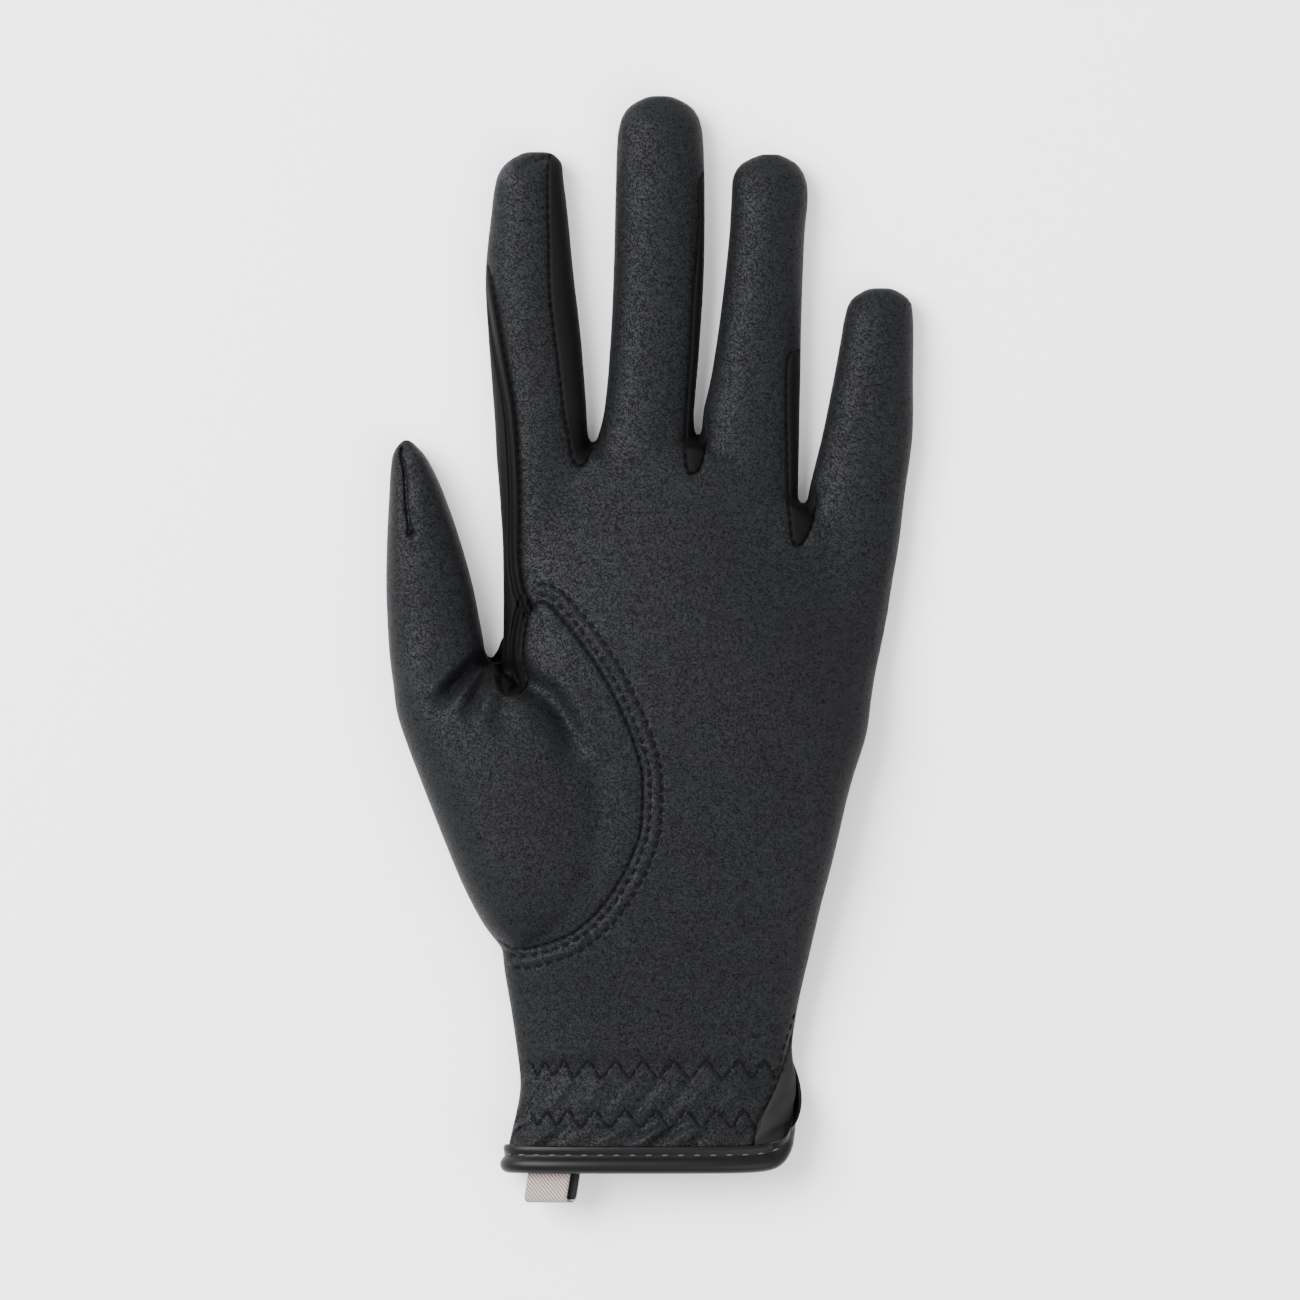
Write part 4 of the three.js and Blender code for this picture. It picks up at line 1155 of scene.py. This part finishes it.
def stretch_knit(colour):
    """Brushed stretch knit, near black: smooth, with a fine rib. The rib is drawn coarser, to show."""
    material, tree, surface, place = new_material(
        "stretch_knit", **{"Roughness": 0.7, "IOR": 1.45, "Specular IOR Level": 0.1}
    )
    ribs = add_node(
        tree, "ShaderNodeTexWave", {"bands_direction": "X"},
        {"Scale": 2 * math.pi / (20 * KNIT_RIB * MM), "Distortion": 1.5, "Detail": 2.0}, {"Vector": place},
    )
    cloud = add_node(
        tree, "ShaderNodeTexNoise", None, {"Scale": 1 / (KNIT_CLOUD * MM), "Detail": 3.0}, {"Vector": place}
    )
    tint = add_node(
        tree, "ShaderNodeValToRGB", links={"Fac": cloud.outputs["Fac"]},
        ramp=[(0, shade(colour, 0.7)), (1, shade(colour, 1.4))],
    )
    # Painted sheen: towards the cuff the knit is drawn paler, where it catches the light.
    split = add_node(tree, "ShaderNodeSeparateXYZ", None, None, {"Vector": place})
    wrist = add_node(
        tree, "ShaderNodeMapRange", {"interpolation_type": "SMOOTHSTEP"},
        {"From Min": WRIST_PAINTED_SHEEN[0], "From Max": WRIST_PAINTED_SHEEN[1]}, {"Value": split.outputs["Y"]},
    )
    result = mixed(tree, wrist.outputs["Result"], tint.outputs["Color"], shade(colour, 5.0))
    # Painted shade: in the corner between thumb and palm and in the webs the knit is drawn near black,
    # where shade falls.
    corners = [(CROTCH_PAINTED_SHADE, KNIT_SHADE_REACH)] + [(web, WEB_SHADE_REACH) for web in WEBS_PAINTED_SHADE]
    for centre, reach in corners:
        result = mixed(tree, near_place(tree, place, centre, reach), result, shade(colour, 0.15))
    finish_surface(tree, surface, result, ribs.outputs["Fac"], 0.25, 0.06)
    return material


def binding_tape(colour):
    """Coated binding tape, folded and rolled: satin, almost smooth, with long soft highlights."""
    material, tree, surface, place = new_material(
        "coated_binding_tape", **{"Roughness": 0.42, "IOR": 1.5, "Specular IOR Level": 0.15}
    )
    grain = add_node(
        tree, "ShaderNodeTexNoise", None, {"Scale": 1 / (TAPE_GRAIN * MM), "Detail": 3.0}, {"Vector": place}
    )
    tint = add_node(
        tree, "ShaderNodeValToRGB", links={"Fac": grain.outputs["Fac"]},
        ramp=[(0, shade(colour, 0.6)), (1, shade(colour, 1.4))],
    )
    finish_surface(tree, surface, tint.outputs["Color"], grain.outputs["Fac"], 0.2, 0.05)
    return material


def spun_thread(name, colour):
    """Spun polyester thread: matt, with a fine twist that shows as darker flecks."""
    material, tree, surface, place = new_material(name, **{"Roughness": 0.7, "Specular IOR Level": 0.1})
    twist = add_node(
        tree, "ShaderNodeTexNoise", None, {"Scale": 1 / (THREAD_TWIST * MM), "Detail": 2.0},
        {"Vector": place},
    )
    tint = add_node(
        tree, "ShaderNodeValToRGB", links={"Fac": twist.outputs["Fac"]},
        ramp=[(0, shade(colour, 0.6)), (1, shade(colour, 1.0))],
    )
    tree.links.new(tint.outputs["Color"], surface.inputs["Base Color"])
    return material


def twill_ribbon(name, colour):
    """Woven twill ribbon: slanting ribs with dark gaps. They are drawn a little coarse, to show."""
    material, tree, surface, place = new_material(name, **{"Roughness": 0.75, "Specular IOR Level": 0.3})
    ribs = add_node(
        tree, "ShaderNodeTexWave", {"bands_direction": "DIAGONAL"},
        {"Scale": 2 * math.pi / (10 * math.sqrt(2) * RIBBON_RIB * MM), "Distortion": 0.6},
        {"Vector": place},
    )
    tint = add_node(
        tree, "ShaderNodeValToRGB", links={"Fac": ribs.outputs["Fac"]},
        ramp=[(0, shade(colour, 0.25)), (1, shade(colour, 1.0))],
    )
    finish_surface(tree, surface, tint.outputs["Color"], ribs.outputs["Fac"], 0.4, 0.08)
    return material


SKIN_TREE = {}


def make_panels(sizes, look):
    """The six pieces of leather and stretch fabric."""
    bm = shape_skin(sizes)
    note_details(bm)
    SKIN_TREE["skin"] = pressed_tree(bm)
    leather, knit = grained_leather(look.leather), stretch_knit(look.knit)
    for name, part in split_panels(bm).items():
        piece = walled_piece(part, name, sizes.wall)
        soft = name in ("palm_panel", "thumb_piece")
        piece.data.materials.append(leather if soft else knit)
        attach(piece, BODY)
        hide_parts(name)


ROLL_RADIUS = ROLL_DIAMETER / 2
# The band's outer face above the roll: height above the edge, and distance out from the leather.
# It dips at the stitches.
BAND_FACE = [
    (3.3, 0.72), (3.75, 0.34), (4.15, 0.2), (4.6, 0.38), (5.2, 0.55), (5.8, 0.5), (6.2, 0.35), (6.3, 0.2),
]
BAND_BACK = 0.05
BAND_STITCH = (0.32, 4.15)
band_at = smooth_rows(BAND_FACE)
BINDING_RINGS = 180
BINDING_SEGMENTS = 60
# Degrees of the section's own angle where the band's face begins, ends at its top, and where its back ends
FACE_TURN, TOP_TURN, BACK_TURN = 48, 110, 130


def binding_section(angle):
    """The binding's section by its own angle: distance out and height above the edge."""
    centre = -WALL / 2
    turn = math.degrees(angle) % 360
    if turn >= 180 or turn < FACE_TURN:
        return centre + ROLL_RADIUS * math.cos(angle), ROLL_RADIUS + ROLL_RADIUS * math.sin(angle)
    if turn < TOP_TURN:
        share = (turn - FACE_TURN) / (TOP_TURN - FACE_TURN)
        height = BAND_FACE[0][0] + (BAND_REACH - BAND_FACE[0][0]) * share
        return float(band_at(height)[0]), height
    if turn < BACK_TURN:
        share = (turn - TOP_TURN) / (BACK_TURN - TOP_TURN)
        return BAND_BACK, BAND_REACH - (BAND_REACH - ROLL_DIAMETER) * share
    share = (turn - BACK_TURN) / (180 - BACK_TURN)
    first = math.acos((BAND_BACK - centre) / ROLL_RADIUS)
    round_turn = first + (math.pi - first) * share
    return centre + ROLL_RADIUS * math.cos(round_turn), ROLL_RADIUS + ROLL_RADIUS * math.sin(round_turn)


def binding_ring(turn_angle):
    """A ring of the binding at an angle round the cuff."""
    place, out, up, _ = edge_frame(turn_angle)

    def point(angle):
        """The ring's point at its section's own angle."""
        outwards, height = binding_section(angle)
        return place + out * outwards + up * height

    return point


def make_binding(look):
    """The roll and the flat band round the cuff edge."""
    bm = bmesh.new()
    turns = np.linspace(-math.pi, math.pi, BINDING_RINGS + 1)[:-1]
    loft(bm, [binding_ring(turn) for turn in turns], BINDING_SEGMENTS, closed_round=True)
    bmesh.ops.recalc_face_normals(bm, faces=bm.faces)
    for face in bm.faces:
        face.smooth = True
    piece = object_from(bm, "cuff_binding_tape")
    piece.data.materials.append(binding_tape(look.tape))
    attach(piece, BODY)
    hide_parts("cuff_binding")


LABEL_ANGLE = math.radians(131)
LABEL_WIDTH = 9.6
LABEL_REACH = 6.6
LABEL_TUCK = 6.0
LABEL_BEND = 1.3
LABEL_WALL = 0.7
# The tab's gap to the roll, and how far it leans along the edge per length and per depth
LABEL_GAP = 0.45
LABEL_LEAN = 0.16
LABEL_SKEW = 0.9


def make_label(look):
    """The folded ribbon under the binding."""
    place, out, up, along = edge_frame(LABEL_ANGLE)
    seat = -(WALL / 2 + ROLL_DIAMETER / 2 + LABEL_GAP)
    straight = LABEL_TUCK + LABEL_REACH - LABEL_BEND
    bend = math.pi * LABEL_BEND
    whole = 2 * straight + bend
    bm = bmesh.new()
    bmesh.ops.create_grid(bm, x_segments=64, y_segments=10, size=0.5)
    for vert in bm.verts:
        run = (vert.co.x + 0.5) * whole
        across = vert.co.y * LABEL_WIDTH
        if run < straight:
            length, deep = LABEL_TUCK - run, 0.0
        elif run < straight + bend:
            turn = (run - straight) / LABEL_BEND
            length = -LABEL_REACH + LABEL_BEND - LABEL_BEND * math.sin(turn)
            deep = -LABEL_BEND + LABEL_BEND * math.cos(turn)
        else:
            length, deep = -LABEL_REACH + LABEL_BEND + (run - straight - bend), -2 * LABEL_BEND
        side = across + length * LABEL_LEAN - deep / LABEL_BEND * LABEL_SKEW
        vert.co = Vector(place + up * length + out * (seat + deep) - along * side) * MM
    bm.normal_update()
    upper = max(bm.faces, key=lambda face: face.calc_center_median().dot(Vector(out)))
    if upper.normal.dot(Vector(out)) < 0:
        bmesh.ops.reverse_faces(bm, faces=bm.faces[:])
    for face in bm.faces:
        face.smooth = True
    piece = object_from(bm, "label_ribbon_loop")
    piece.data.materials.append(twill_ribbon("woven_twill_ribbon", look.ribbon))
    piece.data.materials.append(twill_ribbon("woven_twill_reverse", look.ribbon_reverse))
    wall = piece.modifiers.new("wall", "SOLIDIFY")
    wall.thickness = LABEL_WALL * MM
    wall.offset = -1
    wall.material_offset = 1
    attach(piece, BODY)
    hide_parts("label_loop")


# A stitch is left out where the surface is steeper than this normal's height, or if it is longer in mm.
STITCHED_SLOPE = 0.3
LONGEST_STITCH = 8
# Pitch and length of a row's stitches in mm. A thread is its thickness and its lift off the surface.
GUSSET_LENGTH, GUSSET_THREAD = 1.8, (0.42, 0.09)
EDGE_PITCH, EDGE_LENGTH, EDGE_THREAD = 2.4, 1.6, (0.42, 0.05)
DART_PITCH, DART_LENGTH, DART_THREAD = 1.5, 1.5, (0.55, 0.2)
ZIGZAG_THREAD = (0.44, 0.1)
KNOT_HALF, KNOT_THREAD = (0.15, 0.6), (1.2, 0.35)
# The palm's edge row lies inside the seam and starts above the cuff edge.
EDGE_ROW_INSET = 0.9
EDGE_ROW_START = 6
# The binding's grey stitches
GREY_PITCH, GREY_LENGTH, GREY_HALF = 3.6, 1.7, (0.22, 0.2)


def surface_at(x, y):
    """The palm side's point and normal under a place in plan."""
    hit, normal, _, _ = SKIN_TREE["skin"].ray_cast(Vector((x * MM, y * MM, 0.1)), Vector((0, 0, -1)))
    return hit, normal


def add_bead(bm, first, last, out, size, lift=0.0):
    """One stitch: a slim rounded bead between two points, with its half length, width and height."""
    along = (last - first).normalized()
    side = out.cross(along).normalized()
    top = along.cross(side).normalized()
    turn = Matrix((along, side, top)).transposed().to_4x4()
    middle = Matrix.Translation((first + last) / 2 + top * lift)
    matrix = middle @ turn @ Matrix.Diagonal((*size, 1))
    bmesh.ops.create_uvsphere(bm, u_segments=6, v_segments=5, radius=1.0, matrix=matrix)


def add_stitch(bm, start, end, thread):
    """One stitch between two places in plan, laid on the surface."""
    first, normal_a = surface_at(*start)
    last, normal_b = surface_at(*end)
    if first is None or last is None or min(normal_a.z, normal_b.z) < STITCHED_SLOPE:
        return
    length = (last - first).length
    if length < 1e-6 or length > LONGEST_STITCH * MM:
        return
    half = thread[0] * MM / 2
    add_bead(bm, first, last, (normal_a + normal_b).normalized(), (length / 2, half, half), thread[1] * MM)


def stitch_row(bm, line, pitch, length, thread):
    """A row of stitches along a line in plan."""
    run = line_run(line)
    for start in np.arange(0, run[-1] - length, pitch):
        ends = [
            tuple(np.interp(place, run, line[:, k]) for k in (0, 1)) for place in (start, start + length)
        ]
        add_stitch(bm, ends[0], ends[1], thread)


def make_stitches(sizes, look):
    """The gusset's double row, the zigzags of the elastic, the palm's edge row and the dart's row."""
    bm = bmesh.new()
    for row in STITCH_ROWS:
        stitch_row(bm, row, sizes.stitch_pitch / MM, GUSSET_LENGTH, GUSSET_THREAD)
    for line in ZIGZAGS:
        for start, end in zip(line, line[1:]):
            middle = (start + end) / 2
            add_stitch(bm, start, middle, ZIGZAG_THREAD)
            add_stitch(bm, middle, end, ZIGZAG_THREAD)
    cuff = SEAMS["cuff"].line
    edge = offset_line(cuff[cuff[:, 1] > CAD_LOW.y / MM + EDGE_ROW_START], -EDGE_ROW_INSET)
    stitch_row(bm, edge, EDGE_PITCH, EDGE_LENGTH, EDGE_THREAD)
    stitch_row(bm, DART_LINE, DART_PITCH, DART_LENGTH, DART_THREAD)
    knot = photo(DART_END)[0]
    add_stitch(bm, knot - KNOT_HALF, knot + KNOT_HALF, KNOT_THREAD)
    for face in bm.faces:
        face.smooth = True
    piece = object_from(bm, "black_stitches")
    piece.data.materials.append(spun_thread("spun_thread_black", look.dark_thread))
    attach(piece, BODY)


def make_binding_stitches(look):
    """The grey stitches on the binding's flat band, evenly spaced round the cuff."""
    bm = bmesh.new()
    frames = [edge_frame(angle) for angle in np.radians(np.linspace(-180, 180, 1441))]
    line = np.array([f[0] + f[1] * BAND_STITCH[0] + f[2] * BAND_STITCH[1] for f in frames])
    run = line_run(line)
    size = [half * MM for half in (GREY_LENGTH / 2, *GREY_HALF)]
    for start in np.arange(0, run[-1] - GREY_PITCH, GREY_PITCH):
        first, last = [
            Vector([np.interp(place, run, line[:, k]) for k in range(3)]) * MM
            for place in (start, start + GREY_LENGTH)
        ]
        out = Vector(frames[int(np.searchsorted(run, start)) % len(frames)][1])
        add_bead(bm, first, last, out, size)
    bmesh.ops.recalc_face_normals(bm, faces=bm.faces)
    for face in bm.faces:
        face.smooth = True
    piece = object_from(bm, "grey_stitches")
    piece.data.materials.append(spun_thread("spun_thread_grey", look.grey_thread))
    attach(piece, BODY)


def floor_material():
    """Matt paper backdrop, nearly white."""
    material, tree, surface, place = new_material(
        "white_paper", **{"Roughness": 0.9, "Specular IOR Level": 0.1}
    )
    cloud = add_node(tree, "ShaderNodeTexNoise", None, {"Scale": 3.0, "Detail": 2.0}, {"Vector": place})
    tint = add_node(
        tree, "ShaderNodeValToRGB", links={"Fac": cloud.outputs["Fac"]},
        ramp=[(0, linear("#f6f6f6")), (1, linear("#fbfbfb"))],
    )
    tree.links.new(tint.outputs["Color"], surface.inputs["Base Color"])
    return material


def add_area_light(name, place, aim, size, power):
    """A soft square light aimed at a place."""
    light = bpy.data.lights.new(name, "AREA")
    light.size = size
    light.energy = power
    lamp = bpy.data.objects.new(name, light)
    lamp.location = place
    lamp.rotation_euler = (Vector(aim) - Vector(place)).to_track_quat("-Z", "Y").to_euler()
    bpy.context.scene.collection.objects.link(lamp)


# Studio in metres. The camera looks straight down from this height above the seams' usual height.
FLOOR_HALF = 3.0
CAMERA_HEIGHT = 3.0
SEAM_HEIGHT = 0.008
KEY_PLACE, KEY_SIZE = (-1.0, 0.5, 1.3), 1.2
FILL_PLACE, FILL_SIZE = (0.9, -0.9, 1.3), 1.4


def make_stage(look):
    """The floor, the studio light and the camera straight above."""
    bm = bmesh.new()
    bmesh.ops.create_grid(bm, x_segments=4, y_segments=4, size=FLOOR_HALF)
    floor = object_from(bm, "floor")
    floor.data.materials.append(floor_material())
    add_area_light("key", KEY_PLACE, (0, 0, 0), KEY_SIZE, look.key_power)
    add_area_light("fill", FILL_PLACE, (0, 0, 0), FILL_SIZE, look.fill_power)
    world = bpy.data.worlds.new("studio")
    world.use_nodes = True
    world.node_tree.nodes["Background"].inputs["Color"].default_value = (1, 1, 1, 1)
    world.node_tree.nodes["Background"].inputs["Strength"].default_value = look.sky
    bpy.context.scene.world = world
    camera = bpy.data.cameras.new("camera")
    camera.sensor_width = 36.0
    camera.lens = camera.sensor_width * CAMERA_HEIGHT / (PHOTO_PIXELS * PIXEL * MM)
    camera.clip_end = 20.0
    eye = bpy.data.objects.new("camera", camera)
    eye.location = (0.0, 0.0, CAMERA_HEIGHT + SEAM_HEIGHT)
    bpy.context.scene.collection.objects.link(eye)
    bpy.context.scene.camera = eye


class GLOVE_PG_sizes(bpy.types.PropertyGroup):
    """Sizes of the glove's cloth and stitches."""

    wall: bpy.props.FloatProperty(
        name="Wall", description="Thickness of the leather and fabric", default=WALL * MM,
        subtype="DISTANCE", unit="LENGTH",
    )
    voxel: bpy.props.FloatProperty(
        name="Skin fineness", description="Size of the skin's faces before the seams are pressed in",
        default=0.9 * MM, subtype="DISTANCE", unit="LENGTH",
    )
    stitch_pitch: bpy.props.FloatProperty(
        name="Stitch pitch", description="Distance from one gusset stitch to the next",
        default=2.5 * MM, subtype="DISTANCE", unit="LENGTH",
    )


def colour_property(name, description, hex_colour):
    """A colour property with its default from an sRGB hex colour."""
    return bpy.props.FloatVectorProperty(
        name=name, description=description, subtype="COLOR", size=3, min=0.0, max=1.0,
        default=linear(hex_colour)[:3],
    )


class GLOVE_PG_look(bpy.types.PropertyGroup):
    """Colours of the glove and light of the studio."""

    leather: colour_property("Leather", "Tops of the leather's grain", "#0f1013")
    knit: colour_property("Knit", "Stretch fabric of the back and the side strips", "#070707")
    tape: colour_property("Binding", "Coated tape round the cuff", "#060607")
    ribbon: colour_property("Label face", "Ribbon of the label tab", "#a0918c")
    ribbon_reverse: colour_property("Label reverse", "Reverse of the label's ribbon", "#0a0a0a")
    dark_thread: colour_property("Black thread", "Thread of the palm side's stitches", "#030303")
    grey_thread: colour_property("Grey thread", "Thread of the binding's stitches", "#464646")

    key_power: bpy.props.FloatProperty(
        name="Key", description="Power of the soft light at the upper left", default=95.0, unit="POWER",
    )
    fill_power: bpy.props.FloatProperty(
        name="Fill", description="Power of the soft light at the right", default=24.0, unit="POWER",
    )
    sky: bpy.props.FloatProperty(
        name="Sky", description="Strength of the even light from all around", default=1.35,
    )


class GLOVE_OT_panels(bpy.types.Operator):
    """Add the leather and stretch fabric pieces"""

    bl_idname = "glove.panels"
    bl_label = "Leather and fabric pieces"

    def execute(self, context):
        make_panels(context.scene.glove_sizes, context.scene.glove_look)
        return {"FINISHED"}


class GLOVE_OT_binding(bpy.types.Operator):
    """Add the cuff binding with its grey stitches"""

    bl_idname = "glove.binding"
    bl_label = "Cuff binding"

    def execute(self, context):
        make_binding(context.scene.glove_look)
        make_binding_stitches(context.scene.glove_look)
        return {"FINISHED"}


class GLOVE_OT_label(bpy.types.Operator):
    """Add the folded woven label"""

    bl_idname = "glove.label"
    bl_label = "Label"

    def execute(self, context):
        make_label(context.scene.glove_look)
        return {"FINISHED"}


class GLOVE_OT_stitches(bpy.types.Operator):
    """Add the black stitches on the palm side"""

    bl_idname = "glove.stitches"
    bl_label = "Black stitches"

    def execute(self, context):
        if "skin" not in SKIN_TREE:
            raise RuntimeError("the leather pieces come first")
        make_stitches(context.scene.glove_sizes, context.scene.glove_look)
        return {"FINISHED"}


class GLOVE_OT_stage(bpy.types.Operator):
    """Add the floor, the lights and the camera"""

    bl_idname = "glove.stage"
    bl_label = "Stage"

    def execute(self, context):
        make_stage(context.scene.glove_look)
        return {"FINISHED"}


class GLOVE_PT_panel(bpy.types.Panel):
    """Lists the glove's pieces"""

    bl_idname = "GLOVE_PT_panel"
    bl_label = "Riding Glove"
    bl_space_type = "VIEW_3D"
    bl_region_type = "UI"
    bl_category = "Glove"

    def draw(self, context):
        for group in (context.scene.glove_sizes, context.scene.glove_look):
            for name in group.bl_rna.properties.keys():
                if name not in ("rna_type", "name"):
                    self.layout.prop(group, name)
        for operator in OPERATORS:
            self.layout.operator(operator.bl_idname)


OPERATORS = (GLOVE_OT_panels, GLOVE_OT_binding, GLOVE_OT_label, GLOVE_OT_stitches, GLOVE_OT_stage)
CLASSES = (GLOVE_PG_sizes, GLOVE_PG_look, *OPERATORS, GLOVE_PT_panel)


def register():
    for cls in CLASSES:
        bpy.utils.register_class(cls)
    bpy.types.Scene.glove_sizes = bpy.props.PointerProperty(type=GLOVE_PG_sizes)
    bpy.types.Scene.glove_look = bpy.props.PointerProperty(type=GLOVE_PG_look)


def unregister():
    del bpy.types.Scene.glove_look
    del bpy.types.Scene.glove_sizes
    for cls in reversed(CLASSES):
        bpy.utils.unregister_class(cls)


def main():
    """Builds every piece in order."""
    register()
    for operator in OPERATORS:
        group, name = operator.bl_idname.split(".")
        getattr(getattr(bpy.ops, group), name)()
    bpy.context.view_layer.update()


if __name__ == "__main__":
    main()
